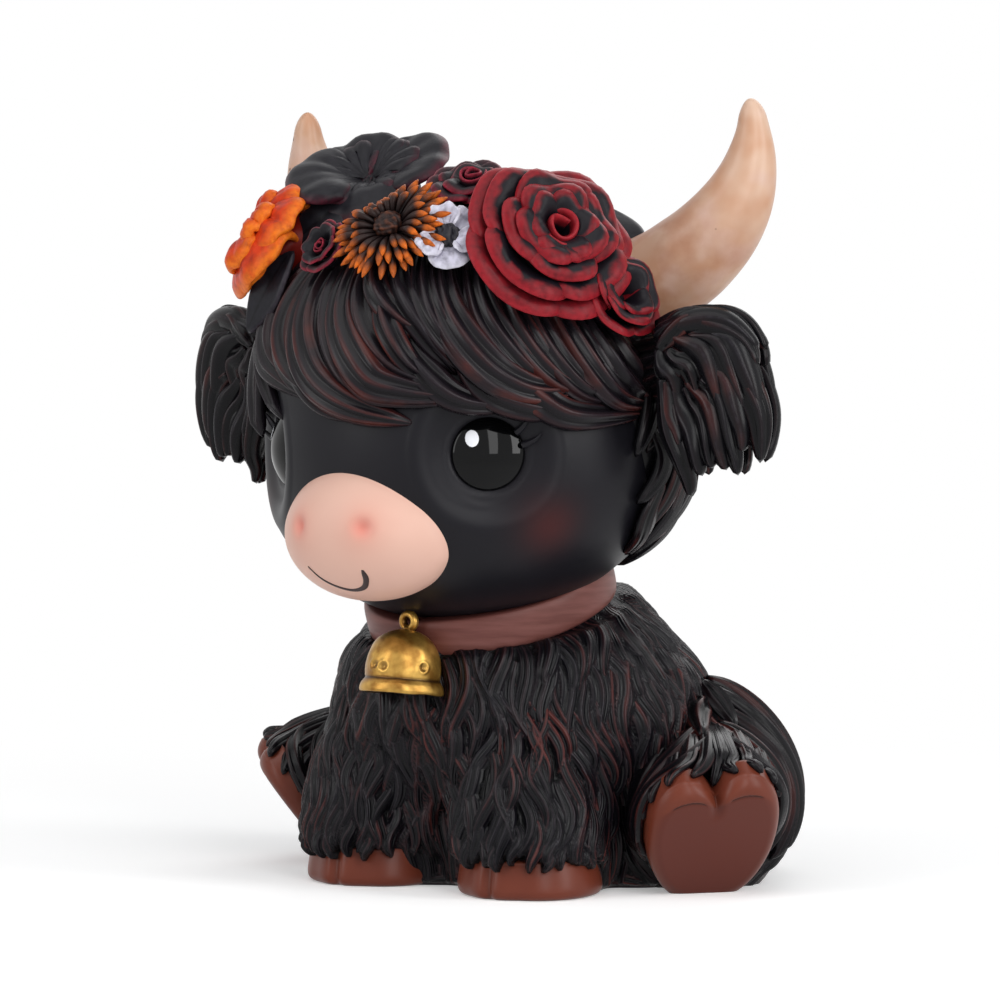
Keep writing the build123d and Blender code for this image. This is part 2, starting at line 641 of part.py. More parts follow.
def make_ear(head_form):
    """Left ear: a cushion with jagged tips and a hollowed front, on a short root."""
    points = [(x * EAR_WIDTH, y * EAR_HEIGHT) for x, y in EAR_OUTLINE_SHARES]
    outline = make_face(Polyline(points, close=True))
    blank = extrude(outline, EAR_THICKNESS, both=True)
    cushion = scale(
        Sphere(EAR_HEIGHT / 2),
        by=(EAR_WIDTH / EAR_HEIGHT * EAR_ROUND_SHARE, EAR_ROUND_SHARE, EAR_THICKNESS / EAR_HEIGHT),
    )
    scoop = Pos(0, 0, EAR_SCOOP_RADIUS + EAR_THICKNESS / 2 - EAR_SCOOP_DEPTH) * Sphere(EAR_SCOOP_RADIUS)
    ear = ear_location() * (blank & cushion - scoop)
    root = plane_on_head(EAR_ROOT_TURN, EAR_ROOT_CLIMB, -HAIR_DEPTH).origin
    ear_side = (ear_location() * Pos(-EAR_WIDTH / 4, EAR_HEIGHT / 5, 0)).position
    heading = ear_side - root
    stalk = Plane(origin=root, z_dir=heading).location * Cone(
        EAR_ROOT_RADIUS, EAR_NECK_RADIUS, heading.length, align=(Align.CENTER, Align.CENTER, Align.MIN)
    )
    back = Pos(0, 0, -EAR_SCOOP_DEPTH)
    return (ear + back * stalk) - head_form - ear_location() * scoop


def make_collar(head_form, body):
    """Band round the neck, seated on the shoulders and under the jaw."""
    outer = NECK_RADIUS + COLLAR_THICKNESS
    half = COLLAR_WIDTH / 2
    band = neck_cylinder(outer, -half, half)
    band = chamfer(band.edges().filter_by(GeomType.CIRCLE), COLLAR_EDGE)
    return band - neck_cylinder(NECK_RADIUS, -COLLAR_WIDTH, COLLAR_WIDTH) - head_form - body


def bell_location():
    """Middle of the bell's rim."""
    return Pos(0, BELL_Y, BELL_RIM_Z) * Rot(-BELL_TILT, 0, 0)


def make_bell(body, collar):
    """Cast bell, solid, with a domed crown, a groove and a flared lip."""
    shoulder_z = BELL_HEIGHT - BELL_WAIST_RADIUS
    groove_radius = BELL_WAIST_RADIUS - BELL_GROOVE
    corners = [
        (0, BELL_HEIGHT),
        (0, 0),
        (BELL_RIM_RADIUS, 0),
        (BELL_RIM_RADIUS - BELL_GROOVE, BELL_LIP_HEIGHT),
        (groove_radius, BELL_LIP_HEIGHT),
        (BELL_WAIST_RADIUS, BELL_LIP_HEIGHT + BELL_GROOVE),
        (BELL_WAIST_RADIUS, shoulder_z),
    ]
    edges = [Line(a, b) for a, b in zip(corners, corners[1:])]
    crown_x, crown_z = polar(BELL_WAIST_RADIUS, 45)
    edges.append(ThreePointArc(corners[-1], (crown_x, shoulder_z + crown_z), corners[0]))
    bell = revolve(Plane.XZ * make_face(edges), Axis.Z)
    return bell_location() * bell - body - collar


def make_bell_loop(head_form, collar, bell):
    """Ring that hangs the bell on the collar's front."""
    ring = Pos(0, LOOP_Y, LOOP_Z) * Rot(90, 0, 0) * Torus(LOOP_RADIUS, LOOP_WIRE_RADIUS)
    shank_top = LOOP_Z - LOOP_RADIUS
    shank_low = BELL_RIM_Z + BELL_HEIGHT - CUT_OVERRUN
    shank = Pos(0, LOOP_Y, (shank_top + shank_low) / 2) * Cylinder(LOOP_WIRE_RADIUS, shank_top - shank_low)
    return ring + shank - head_form - collar - bell


def bowl(radius, rise, thickness):
    """Thin shell of a ball, open upward: its rim is at `radius` and `rise` above its lowest point."""
    ball = (radius**2 + rise**2) / (2 * rise)
    shell = Pos(0, 0, ball) * (Sphere(ball + thickness) - Sphere(ball))
    return shell


def scalloped_face(radius, petals):
    """Flat outline of round petals, with a notch between each two."""
    step = 360 / petals
    notch = radius * (1 / (2 * petals) + PETAL_NOTCH_SHARE)
    edges = []
    for index in range(petals):
        start = polar(radius - notch, index * step)
        crown = polar(radius, (index + 0.5) * step)
        end = polar(radius - notch, (index + 1) * step)
        edges.append(ThreePointArc(start, crown, end))
    return make_face(edges)


def rayed_face(radius, rays):
    """Flat outline of narrow pointed petals, for a radius and a count."""
    step = 360 / rays
    points = []
    for index in range(rays):
        points.append(polar(radius, index * step))
        points.append(polar(radius * RAY_ROOT_SHARE, (index + 0.5) * step))
    return make_face(Polyline(points, close=True))


def petal_layer(face, radius, rise):
    """One layer of petals: the bowl's shell inside an outline, from its lowest point to its rim."""
    prism = Pos(0, 0, -PETAL_THICKNESS) * extrude(face, rise + PETAL_THICKNESS * 2)
    return bowl(radius, rise, PETAL_THICKNESS) & prism


def petal_layers(radius, layers, turn):
    """Nested petal layers, each turned a little from the one outside it."""
    flower = Part()
    for number, (reach_share, rise_share, base_share, petals) in enumerate(layers):
        face = Rot(0, 0, turn * number) * scalloped_face(radius * reach_share, petals)
        layer = petal_layer(face, radius * reach_share, radius * rise_share)
        flower += Pos(0, 0, radius * base_share) * layer
    return flower


def calyx(radius, length):
    """Short stem cup under a flower."""
    return Cone(radius / 2, radius, length, align=(Align.CENTER, Align.CENTER, Align.MAX))


def make_rose(radius):
    """Rose: nested scalloped bowls round a closed heart."""
    heart_radius = radius * ROSE_HEART_SHARE
    heart_z = radius * ROSE_CORE_SHARE
    core = Cone(radius * CALYX_SHARE, heart_radius, heart_z, align=(Align.CENTER, Align.CENTER, Align.MIN))
    heart = Pos(0, 0, heart_z) * Sphere(heart_radius)
    return petal_layers(radius, ROSE_LAYERS, ROSE_LAYER_TURN) + core + heart


def make_bud(radius):
    """Half open bud: two deep bowls of three petals."""
    core = Cone(radius * CALYX_SHARE, radius * BUD_CORE_SHARE, radius * BUD_CORE_SHARE)
    return petal_layers(radius, BUD_LAYERS, BUD_LAYER_TURN) + core


def make_gerbera(radius):
    """Daisy form: narrow rays round a button."""
    flower = petal_layer(rayed_face(radius, GERBERA_RAYS), radius, radius * GERBERA_RISE_SHARE)
    button = Cylinder(GERBERA_EYE_RADIUS, GERBERA_EYE_HEIGHT, align=(Align.CENTER, Align.CENTER, Align.MIN))
    return flower + button


def make_anemone(radius):
    """Shallow bowl of petals round a knob."""
    flower = petal_layer(scalloped_face(radius, ANEMONE_PETALS), radius, radius * ANEMONE_RISE_SHARE)
    return flower + Sphere(ANEMONE_EYE_RADIUS)


def make_poppy(radius):
    """Two cupped layers of broad petals round a pod."""
    pod = radius * POPPY_EYE_SHARE
    return petal_layers(radius, POPPY_LAYERS, POPPY_LAYER_TURN) + Pos(0, 0, pod / 2) * Sphere(pod)


FLOWER_FORMS = (
    ("rose_large", make_rose, ROSE_LARGE_RADIUS),
    ("rose_small", make_rose, ROSE_SMALL_RADIUS),
    ("anemone", make_anemone, ANEMONE_RADIUS),
    ("gerbera", make_gerbera, GERBERA_RADIUS),
    ("rose_bud", make_bud, ROSE_BUD_RADIUS),
    ("poppy_orange", make_poppy, POPPY_ORANGE_RADIUS),
    ("poppy_black", make_poppy, POPPY_BLACK_RADIUS),
    ("rose_dark", make_rose, ROSE_DARK_RADIUS),
)


def make_flowers(seat, neighbours):
    """All flowers, each cut back where it meets the hair, its neighbours and the flowers before it."""
    placed = {}
    for name, form, radius in FLOWER_FORMS:
        turn, climb, nod, spin, lift_share = FLOWER_SPOTS[name]
        lift = radius * lift_share
        spot = plane_on_head(turn, climb, HAIR_DEPTH).location * Rot(nod, 0, 0) * Pos(0, 0, lift)
        stem = calyx(radius * CALYX_SHARE, lift + radius * CALYX_LENGTH_SHARE)
        flower = spot * Rot(0, 0, spin) * (form(radius) + stem) - seat
        placed[name] = largest_solid(cut_away(flower, neighbours + tuple(placed.values())))
    return placed


def largest_solid(shape):
    """The biggest solid of a cut shape; crumbs that a cut leaves behind are dropped."""
    solids = sorted(shape.solids(), key=lambda solid: solid.volume)
    return Part() + solids[-1]


def make_leaves(seat, cutters):
    """Leaves that lie on the hair, each a strip of a shell cut to two arcs."""
    sheet = head_egg(HAIR_DEPTH + LEAF_THICKNESS) - seat
    half = LEAF_LENGTH / 2
    ends = (-half, 0), (half, 0)
    outline = make_face([
        ThreePointArc(ends[0], (0, LEAF_WIDTH / 2), ends[1]),
        ThreePointArc(ends[1], (0, -LEAF_WIDTH / 2), ends[0]),
    ])
    leaves = Part()
    for turn, climb, spin in LEAF_SPOTS:
        spot = plane_on_head(turn, climb, HAIR_DEPTH).location * Rot(0, 0, spin)
        prism = spot * extrude(outline, HAIR_DEPTH * 2, both=True)
        leaf = cut_away(sheet & prism, cutters)
        if leaf.solids():
            leaves += largest_solid(leaf)
    return leaves


def mirrored(part):
    """The same piece on the right side."""
    return mirror(part, about=Plane.YZ)


def make_pieces():
    """Every piece of the figure by name."""
    head_form = head_egg(0) - neck_cylinder(HEAD_RADIUS, -HEAD_DROP, 0)
    body = body_outside()
    pieces = {}

    pieces["torso"] = body + neck_cylinder(SPIGOT_RADIUS, -CUT_OVERRUN, SPIGOT_LENGTH) - body_core()
    pairs = {}
    pairs["front_leg"] = make_front_leg(body)
    pairs["front_hoof"] = make_front_hoof(body)
    pairs["rear_hoof"] = make_rear_hoof()
    pairs["rear_leg"] = make_rear_leg(body, pairs["front_leg"], pairs["rear_hoof"])
    pieces["tail"] = make_tail(body, pairs["rear_leg"])

    pairs["horn"] = make_horn(head_form)
    pairs["ear"] = make_ear(head_form)
    pairs["eye"] = make_eye()
    eyes = (pairs["eye"], mirrored(pairs["eye"]))
    sockets = (eye_socket(), mirrored(eye_socket()))
    pieces["head"] = make_head(eyes, sockets)
    pairs["eyelashes"] = make_lashes(pieces["head"], pairs["eye"])
    pieces["muzzle"] = make_muzzle(head_form)
    pieces["collar"] = make_collar(head_form, body)
    pieces["bell"] = make_bell(body, pieces["collar"])
    pieces["bell_loop"] = make_bell_loop(head_form, pieces["collar"], pieces["bell"])

    horns = (pairs["horn"], mirrored(pairs["horn"]))
    ears = (pairs["ear"], mirrored(pairs["ear"]))
    pieces["fringe"] = make_fringe(head_form, horns + ears)
    pieces["back_hair"] = make_back_hair(head_form, horns + ears + (pieces["collar"], body))

    seat = head_egg(HAIR_DEPTH)
    flowers = make_flowers(seat, horns + ears)
    pieces.update(flowers)
    pieces["crown_leaves"] = make_leaves(seat, horns + ears + tuple(flowers.values()))

    for name, part in pairs.items():
        pieces[name + "_left"] = part
        pieces[name + "_right"] = mirrored(part)
    return pieces


os.makedirs("parts", exist_ok=True)
for node, solid in make_pieces().items():
    solid.label = node
    export_step(solid, os.path.join("parts", node + ".step"))
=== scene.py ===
import math

import bpy
import numpy as np
from mathutils import Matrix, Vector


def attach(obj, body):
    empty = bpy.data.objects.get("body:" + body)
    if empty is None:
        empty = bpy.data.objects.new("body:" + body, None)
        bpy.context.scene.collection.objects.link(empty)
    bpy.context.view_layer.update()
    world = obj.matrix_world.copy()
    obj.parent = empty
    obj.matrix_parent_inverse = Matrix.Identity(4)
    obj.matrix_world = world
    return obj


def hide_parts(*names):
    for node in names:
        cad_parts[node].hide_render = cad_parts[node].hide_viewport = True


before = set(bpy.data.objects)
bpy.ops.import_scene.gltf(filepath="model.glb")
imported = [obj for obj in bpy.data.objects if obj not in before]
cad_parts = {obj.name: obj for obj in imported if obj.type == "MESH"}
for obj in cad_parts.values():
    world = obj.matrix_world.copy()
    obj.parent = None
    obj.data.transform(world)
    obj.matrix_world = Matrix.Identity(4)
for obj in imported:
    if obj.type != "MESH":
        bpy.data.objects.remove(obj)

# A sitting calf ornament: sections of cast resin, painted by hand. Shapes are worked out in
# millimetres as numpy grids and put into meshes in metres. It faces -Y and its left side is +X.

MM = 0.001
UP = np.array([0, 0, 1.0])
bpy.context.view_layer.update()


# Vectors, curves and tables

def length(a):
    """Length of each vector, on a last axis of one."""
    return np.linalg.norm(a, axis=-1, keepdims=True)


def unit(a):
    """Each vector brought to a length of 1."""
    return a / np.maximum(length(a), 1e-9)


def ease(x, start, end):
    """Rises from 0 at start to 1 at end with level ends: 3t^2 - 2t^3."""
    t = np.clip((x - start) / (end - start), 0, 1)
    return t * t * (3 - 2 * t)


def bell_curve(x, width):
    """exp(-(x/width)^2)."""
    return np.exp(-(x / width) ** 2)


def dome_of(share, power=2):
    """Height of a round dome, 1 at a share of 0 of its radius and 0 from a share of 1 on."""
    return np.sqrt(np.maximum(1 - np.abs(share) ** power, 0))


def smooth_table(stops, values, t):
    """Cubic through the values at the stops, whose slope at each stop is that of its neighbours."""
    stops, values = np.asarray(stops, float), np.asarray(values, float)
    flat = values.ndim == 1
    if flat:
        values = values[:, None]
    slopes = np.gradient(values, stops, axis=0)
    k = np.clip(np.searchsorted(stops, t, side="right") - 1, 0, len(stops) - 2)
    step = (stops[k + 1] - stops[k])[..., None]
    f = np.clip(((t - stops[k]) / (stops[k + 1] - stops[k]))[..., None], 0, 1)
    result = (
        (2 * f**3 - 3 * f**2 + 1) * values[k]
        + (f**3 - 2 * f**2 + f) * step * slopes[k]
        + (3 * f**2 - 2 * f**3) * values[k + 1]
        + (f**3 - f**2) * step * slopes[k + 1]
    )
    return result[..., 0] if flat else result


def through(knots, t):
    """Cubic through evenly spaced knots, from the first at t = 0 to the last at t = 1."""
    return smooth_table(np.linspace(0, 1, len(knots)), knots, t)


def bezier(points, t):
    """Quadratic curve that three points control."""
    a, b, c = (np.array(p, float) for p in points)
    t = np.asarray(t)[..., None]
    return a * (1 - t) ** 2 + b * 2 * t * (1 - t) + c * t**2


def waves(points, scale, seed, count=5):
    """Smooth noise from -1 to 1: the mean of a few plane waves in seeded directions, `scale` mm long."""
    rng = np.random.default_rng(seed)
    total = 0
    for _ in range(count):
        heading = unit(rng.normal(size=3)) * 2 * math.pi / (scale * rng.uniform(0.7, 1.5))
        total = total + np.sin(points @ heading + rng.uniform(0, 2 * math.pi))
    return total / count * 1.6


def around(count, start=0.0):
    """Evenly spaced angles of one full turn."""
    return start + np.linspace(0, 2 * math.pi, count, endpoint=False)


def crowded(count, focus, share):
    """Angles from -pi to pi, packed closer about the focus: steps vary as 1 - share*cos."""
    u = around(count, -math.pi)
    return u - share * np.sin(u - focus)


def polar(radius, angle, height):
    """Grid of points at a radius and an angle round Z and at a height."""
    return np.stack(np.broadcast_arrays(radius * np.cos(angle), radius * np.sin(angle), height), -1)


def rings(middle, side, lift, radius, angle):
    """Grid of rings round the middles, in the planes of their side and lift axes."""
    return (
        middle[:, None] + side[:, None] * (radius * np.cos(angle))[..., None]
        + lift[:, None] * (radius * np.sin(angle))[..., None]
    )


def swung(first, second, degrees):
    """Two axes turned in their plane, the first toward the second."""
    c, s = math.cos(math.radians(degrees)), math.sin(math.radians(degrees))
    return first * c + second * s, second * c - first * s


def pitched(degrees):
    """Axes turned about X."""
    return np.array([[1, 0, 0], *swung(np.array([0, 1.0, 0]), UP, degrees)])


def level_axes(turn):
    """Level axes across and along a heading, `turn` degrees from straight ahead toward the left."""
    t = math.radians(turn)
    return np.array([math.cos(t), math.sin(t), 0]), np.array([math.sin(t), -math.cos(t), 0])


# Shells: closed surfaces as points, triangles and marks, the values that the paints read

def grid_triangles(rows, columns, wrap):
    """Two triangles for each cell of a grid; with wrap the last column joins the first."""
    r = np.arange(rows - 1)[:, None]
    c = np.arange(columns if wrap else columns - 1)[None, :]
    d = (c + 1) % columns
    a, b, e, f = r * columns + c, r * columns + d, (r + 1) * columns + d, (r + 1) * columns + c
    return np.concatenate([np.stack([a, b, e], -1).reshape(-1, 3), np.stack([a, e, f], -1).reshape(-1, 3)])


def turned_out(points, triangles):
    """The triangles, turned round if the volume they enclose comes out negative."""
    a, b, c = (points[triangles[:, i]] for i in range(3))
    if np.einsum("ij,ij->i", a - points[0], np.cross(b - points[0], c - points[0])).sum() < 0:
        return triangles[:, ::-1]
    return triangles


def tube_shell(grid, marks=None):
    """Closed shell of a grid whose columns go round; both ends are closed by a fan to their middle."""
    rows, columns = grid.shape[:2]
    count = rows * columns
    points = np.concatenate([grid.reshape(-1, 3), grid[:1].mean(1), grid[-1:].mean(1)])
    ring = np.arange(columns)
    after = (ring + 1) % columns
    last = (rows - 1) * columns
    fans = [
        np.stack([after, ring, np.full(columns, count)], -1),
        np.stack([ring + last, after + last, np.full(columns, count + 1)], -1),
    ]
    triangles = np.concatenate([grid_triangles(rows, columns, True)] + fans)
    ends = {k: np.concatenate([v.ravel(), [v[0].mean(), v[-1].mean()]]) for k, v in (marks or {}).items()}
    return {"points": points, "triangles": turned_out(points, triangles), "marks": ends}


def grid_normals(grid, wrap):
    """Unit normal at each point: the cross product of the slopes along rows and columns, outward."""
    if wrap:
        across = np.roll(grid, -1, 1) - np.roll(grid, 1, 1)
    else:
        across = np.gradient(grid, axis=1)
    normal = unit(np.cross(across, np.gradient(grid, axis=0)))
    if wrap and (normal * (grid - grid.mean((0, 1)))).sum() < 0:
        normal = -normal
    return normal


def sheet_shell(middle, over, under, marks=None, normal=None):
    """Closed shell round an open sheet: its front stands `over` along the normal and its back `under`
    behind it. Both sheets share their border, so the thickness runs out there."""
    rows, columns = middle.shape[:2]
    if normal is None:
        normal = grid_normals(middle, False)
    inner = np.zeros((rows, columns), bool)
    inner[1:-1, 1:-1] = True
    front = middle + normal * over[..., None]
    back = middle - normal * under[..., None]
    index = np.arange(rows * columns).reshape(rows, columns)
    other = index.copy()
    other[inner] = rows * columns + np.arange(inner.sum())
    points = np.concatenate([front.reshape(-1, 3), back[inner]])
    front_triangles = grid_triangles(rows, columns, False)
    triangles = np.concatenate([front_triangles, other.ravel()[front_triangles[:, ::-1]]])
    both = {k: np.concatenate([v.ravel(), v[inner]]) for k, v in (marks or {}).items()}
    return {"points": points, "triangles": turned_out(points, triangles), "marks": both}


def joined(shells):
    """Several shells as one."""
    starts = np.cumsum([0] + [len(s["points"]) for s in shells])
    names = sorted({k for s in shells for k in s["marks"]})
    return {
        "points": np.concatenate([s["points"] for s in shells]),
        "triangles": np.concatenate([s["triangles"] + n for s, n in zip(shells, starts)]),
        "marks": {
            k: np.concatenate([s["marks"].get(k, np.zeros(len(s["points"]))) for s in shells]) for k in names
        },
    }


def placed(shell, origin, axes):
    """The shell carried from its own axes to an origin and three unit axes."""
    points = np.array(origin, float) + shell["points"] @ np.array(axes, float)
    return {**shell, "points": points}


def reflected(shell):
    """The shell on the other side of the middle plane."""
    return {
        **shell, "points": shell["points"] * np.array([-1, 1, 1]), "triangles": shell["triangles"][:, ::-1]
    }


def make_piece(name, shell, material, slot, *nodes):
    """A mesh object of the shell, in metres, riding on the body and standing for its CAD nodes."""
    mesh = bpy.data.meshes.new(name)
    points, triangles = shell["points"] * MM, shell["triangles"]
    mesh.vertices.add(len(points))
    mesh.vertices.foreach_set("co", points.astype(np.float32).ravel())
    mesh.loops.add(len(triangles) * 3)
    mesh.loops.foreach_set("vertex_index", triangles.astype(np.int32).ravel())
    mesh.polygons.add(len(triangles))
    mesh.polygons.foreach_set("loop_start", np.arange(0, len(triangles) * 3, 3, dtype=np.int32))
    mesh.polygons.foreach_set("use_smooth", np.ones(len(triangles), bool))
    for key, values in shell["marks"].items():
        mesh.attributes.new(key, "FLOAT", "POINT").data.foreach_set("value", values.astype(np.float32))
    mesh.update(calc_edges=True)
    mesh.validate()
    mesh.materials.append(material)
    piece = bpy.data.objects.new(name, mesh)
    bpy.context.scene.collection.objects.link(piece)
    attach(piece, "root")
    if nodes:
        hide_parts(*nodes)


def make_pair(name, shell, material, slot, node):
    """A piece for the left and, reflected, for the right."""
    make_piece(f"{name}_left", shell, material, slot, f"{node}_left")
    make_piece(f"{name}_right", reflected(shell), material, slot, f"{node}_right")


# Camera, light and floor

# The photograph's view: degrees from straight ahead toward the left, degrees up, and distance
VIEW_TURN, VIEW_CLIMB, VIEW_DISTANCE = 36.5, 2.4, 905.0
VIEW_TARGET = (-4.5, 0.0, 73.2)
VIEW_LENS = 166.9
TO_CAMERA = level_axes(VIEW_TURN)[1]
LAMP_TARGET = (0, 0, 75)


def place_facing(thing, turn, climb, distance, target):
    """Puts a camera or lamp at a distance from the target, in mm, looking at it."""
    right, level = level_axes(turn)
    back, up = swung(level, UP, climb)
    turned = Matrix((Vector(right), Vector(up), Vector(back))).transposed().to_4x4()
    turned.translation = (Vector(target) + Vector(back) * distance) * MM
    thing.matrix_world = turned


camera_data = bpy.data.cameras.new("photo_camera")
camera_data.lens = VIEW_LENS
camera_data.sensor_width = 36.0
camera_data.clip_start = 0.01
camera_data.clip_end = 50.0
camera = bpy.data.objects.new("photo_camera", camera_data)
bpy.context.scene.collection.objects.link(camera)
place_facing(camera, VIEW_TURN, VIEW_CLIMB, VIEW_DISTANCE, VIEW_TARGET)
bpy.context.scene.camera = camera
bpy.context.scene.view_settings.view_transform = "Standard"


def softbox(name, turn, climb, distance, width, height, watts):
    """Rectangular lamp aimed at the middle of the figure."""
    lamp = bpy.data.lights.new(name, "AREA")
    lamp.shape = "RECTANGLE"
    lamp.size = width
    lamp.size_y = height
    lamp.energy = watts
    holder = bpy.data.objects.new(name, lamp)
    bpy.context.scene.collection.objects.link(holder)
    place_facing(holder, turn, climb, distance, LAMP_TARGET)


# Two tall strips stand on the figure's left, where the glass eye shows them
softbox("near_strip", 55, 20, 1000, 0.30, 0.85, 3.6)
softbox("side_strip", 97, 20, 1000, 0.24, 0.85, 4.3)
softbox("far_strip", -24, 22, 1000, 0.30, 0.85, 3.2)
softbox("overhead_softbox", 20, 66, 950, 0.9, 0.7, 3.2)
softbox("rear_softbox", 190, 40, 1100, 0.8, 0.6, 2.6)


# Paints

def linear(colour):
    """sRGB hex to linear red, green, blue and full alpha."""
    parts = [int(colour[i:i + 2], 16) / 255 for i in (1, 3, 5)]
    return [c / 12.92 if c <= 0.04045 else ((c + 0.055) / 1.055) ** 2.4 for c in parts] + [1.0]


def add_node(tree, kind, settings=None, **links):
    """Adds a node: settings are its properties, links fill its inputs by name with an output, a hex
    colour or a value. A name such as Vector_1 is the second input of that name; spaces are written _."""
    node = tree.nodes.new(kind)
    for key, value in (settings or {}).items():
        setattr(node, key, value)
    for key, value in links.items():
        words, _, number = key.rpartition("_")
        name, index = (words, int(number)) if number.isdigit() else (key, 0)
        socket = [s for s in node.inputs if s.name == name.replace("_", " ") and s.enabled][index]
        if isinstance(value, bpy.types.NodeSocket):
            tree.links.new(value, socket)
        elif isinstance(value, str):
            socket.default_value = linear(value)
        else:
            socket.default_value = value
    return node


def cleared_tree(block):
    """The node tree of a material or world, emptied."""
    block.use_nodes = True
    block.node_tree.nodes.clear()
    return block.node_tree


def new_paint(name, roughness, specular=0.5, metallic=0.0):
    """A material, its tree and its shader; uniform shader values are set on the sockets."""
    material = bpy.data.materials.new(name)
    tree = cleared_tree(material)
    shader = add_node(
        tree, "ShaderNodeBsdfPrincipled", None, Roughness=roughness, Metallic=metallic,
        Specular_IOR_Level=specular,
    )
    add_node(tree, "ShaderNodeOutputMaterial", None, Surface=shader.outputs[0])
    return material, tree, shader


def mixed(tree, factor, first, second):
    """Colour that goes from the first to the second by a factor."""
    return add_node(
        tree, "ShaderNodeMix", {"data_type": "RGBA"}, Factor=factor, A=first, B=second,
    ).outputs["Result"]


def mark(tree, name):
    """Value of a mark on the surface."""
    return add_node(tree, "ShaderNodeAttribute", {"attribute_name": name}).outputs["Fac"]


def blotches(tree, size_mm, detail=3.0, stretch=(1, 1, 1)):
    """Noise whose blotches are about size_mm across, in object space."""
    place = add_node(tree, "ShaderNodeTexCoord").outputs["Object"]
    scaled = add_node(tree, "ShaderNodeMapping", None, Vector=place, Scale=stretch).outputs["Vector"]
    return add_node(
        tree, "ShaderNodeTexNoise", None, Vector=scaled, Scale=1 / (size_mm * MM), Detail=detail,
    ).outputs["Fac"]


def steps(tree, value, *stops):
    """Ramp of greys from pairs of place and brightness."""
    node = add_node(tree, "ShaderNodeValToRGB", None, Fac=value)
    ramp = node.color_ramp
    while len(ramp.elements) < len(stops):
        ramp.elements.new(0.5)
    for element, (place, level) in zip(ramp.elements, stops):
        element.position = place
        element.color = (level, level, level, 1)
    return node.outputs["Color"]


def patches(tree, size_mm, detail, low, high, stretch=(1, 1, 1)):
    """Blotches cut by a ramp between two pairs of place and brightness."""
    return steps(tree, blotches(tree, size_mm, detail, stretch), low, high)


def maths(tree, operation, *values):
    """Result of one operation on values."""
    inputs = {f"Value_{k}": value for k, value in enumerate(values)}
    return add_node(tree, "ShaderNodeMath", {"operation": operation}, **inputs).outputs[0]


def times(tree, first, second):
    """Product of two values."""
    return maths(tree, "MULTIPLY", first, second)


def finished(paint, colour, height, depth_mm, strength):
    """The paint's material, with the colour and with the height as relief depth_mm deep on its shader."""
    material, tree, shader = paint
    tree.links.new(colour, shader.inputs["Base Color"])
    bump = add_node(tree, "ShaderNodeBump", None, Strength=strength, Distance=depth_mm * MM, Height=height)
    tree.links.new(bump.outputs[0], shader.inputs["Normal"])
    return material


def fur_paint(name, base, hollow, brushed, amount, gloss, fine):
    """Hand-painted cast resin hair: near black with painted shade in the hollows, dry-brushed with a
    red-brown on the raised strands, which also carry a grey painted highlight, under a satin sealer. Fine
    hairs run along each lock: a cosine of the mark that tells how far across its lock a point is."""
    paint = new_paint(name, gloss, 0.15)
    tree = paint[1]
    crest = mark(tree, "crest")
    hairs = maths(tree, "COSINE", times(tree, mark(tree, "across"), 2 * math.pi))
    # Painted shade: the hollow colour takes over where the crest mark is low, between and under the locks.
    shade_in_hollows = mixed(tree, steps(tree, crest, (0.15, 0), (0.6, 1)), hollow, base)
    dry_brush_and_highlight = steps(tree, crest, (0.55, 0), (0.95, 1))
    picked = times(tree, steps(tree, mark(tree, "tone"), (0.35, 0.10), (0.85, 1.0)), amount)
    warm = times(tree, times(tree, dry_brush_and_highlight, patches(tree, 11.0, 3.0, (0.42, 0.10), (0.64, 1.0))), picked)
    coloured = mixed(tree, warm, shade_in_hollows, brushed)
    # Painted highlight: a grey on the raised strands; the red-brown above is real dry-brushed paint.
    lit = times(tree, dry_brush_and_highlight, steps(tree, hairs, (0.2, 0), (0.95, 1)))
    grey = times(tree, times(tree, lit, patches(tree, 0.9, 4.0, (0.35, 0.25), (0.65, 1.0))), 0.30)
    return finished(paint, mixed(tree, grey, coloured, "#4b474f"), hairs, 0.09, fine)


# The second colour of each fur paint is the painted shade of its hollows.
FUR = fur_paint("dry_brushed_black_resin_fur", "#0f0e13", "#060608", "#5a2620", 0.85, 0.27, 0.45)
LOCK_PAINT = fur_paint("satin_black_resin_locks", "#0e0d11", "#050506", "#54241e", 0.85, 0.26, 0.2)
FRINGE_PAINT = fur_paint("dry_brushed_black_resin_locks", "#19151a", "#070608", "#5c2820", 1.0, 0.27, 0.12)


def make_face_paint():
    """Smooth matte black paint over cast resin; the cheeks carry a soft airbrushed dark red."""
    paint = new_paint("matte_black_face_paint", 0.40, 0.16)
    tree = paint[1]
    black = mixed(tree, blotches(tree, 14.0, 2.0), "#131217", "#18171c")
    colour = mixed(tree, mark(tree, "blush"), black, "#4c1a18")
    return finished(paint, colour, blotches(tree, 0.8), 0.02, 0.25)


def make_eye_glass():
    """Polished black glass cabochon: mirror smooth, so it shows the lamps."""
    material, tree, shader = new_paint("polished_black_glass", 0.05, 0.17)
    tree.links.new(mixed(tree, blotches(tree, 6.0), "#040405", "#070708"), shader.inputs["Base Color"])
    return material


def make_plain_paint(name, colour, shade, roughness, size_mm=4.0):
    """One brushed coat of paint with faint uneven cover."""
    paint = new_paint(name, roughness, 0.35)
    tree = paint[1]
    coloured = mixed(tree, blotches(tree, size_mm), colour, shade)
    return finished(paint, coloured, blotches(tree, 0.7), 0.02, 0.2)


def make_muzzle_paint():
    """Satin pale pink paint, airbrushed darker pink round the nostrils and a little below."""
    paint = new_paint("satin_pink_muzzle_paint", 0.42, 0.25)
    tree = paint[1]
    base = mixed(tree, blotches(tree, 12.0, 2.0), "#dfb7a6", "#d9ac9b")
    colour = mixed(tree, mark(tree, "blush"), base, "#d98a7b")
    return finished(paint, colour, blotches(tree, 0.9), 0.015, 0.2)


PINHOLE_CELL = 20 / 3


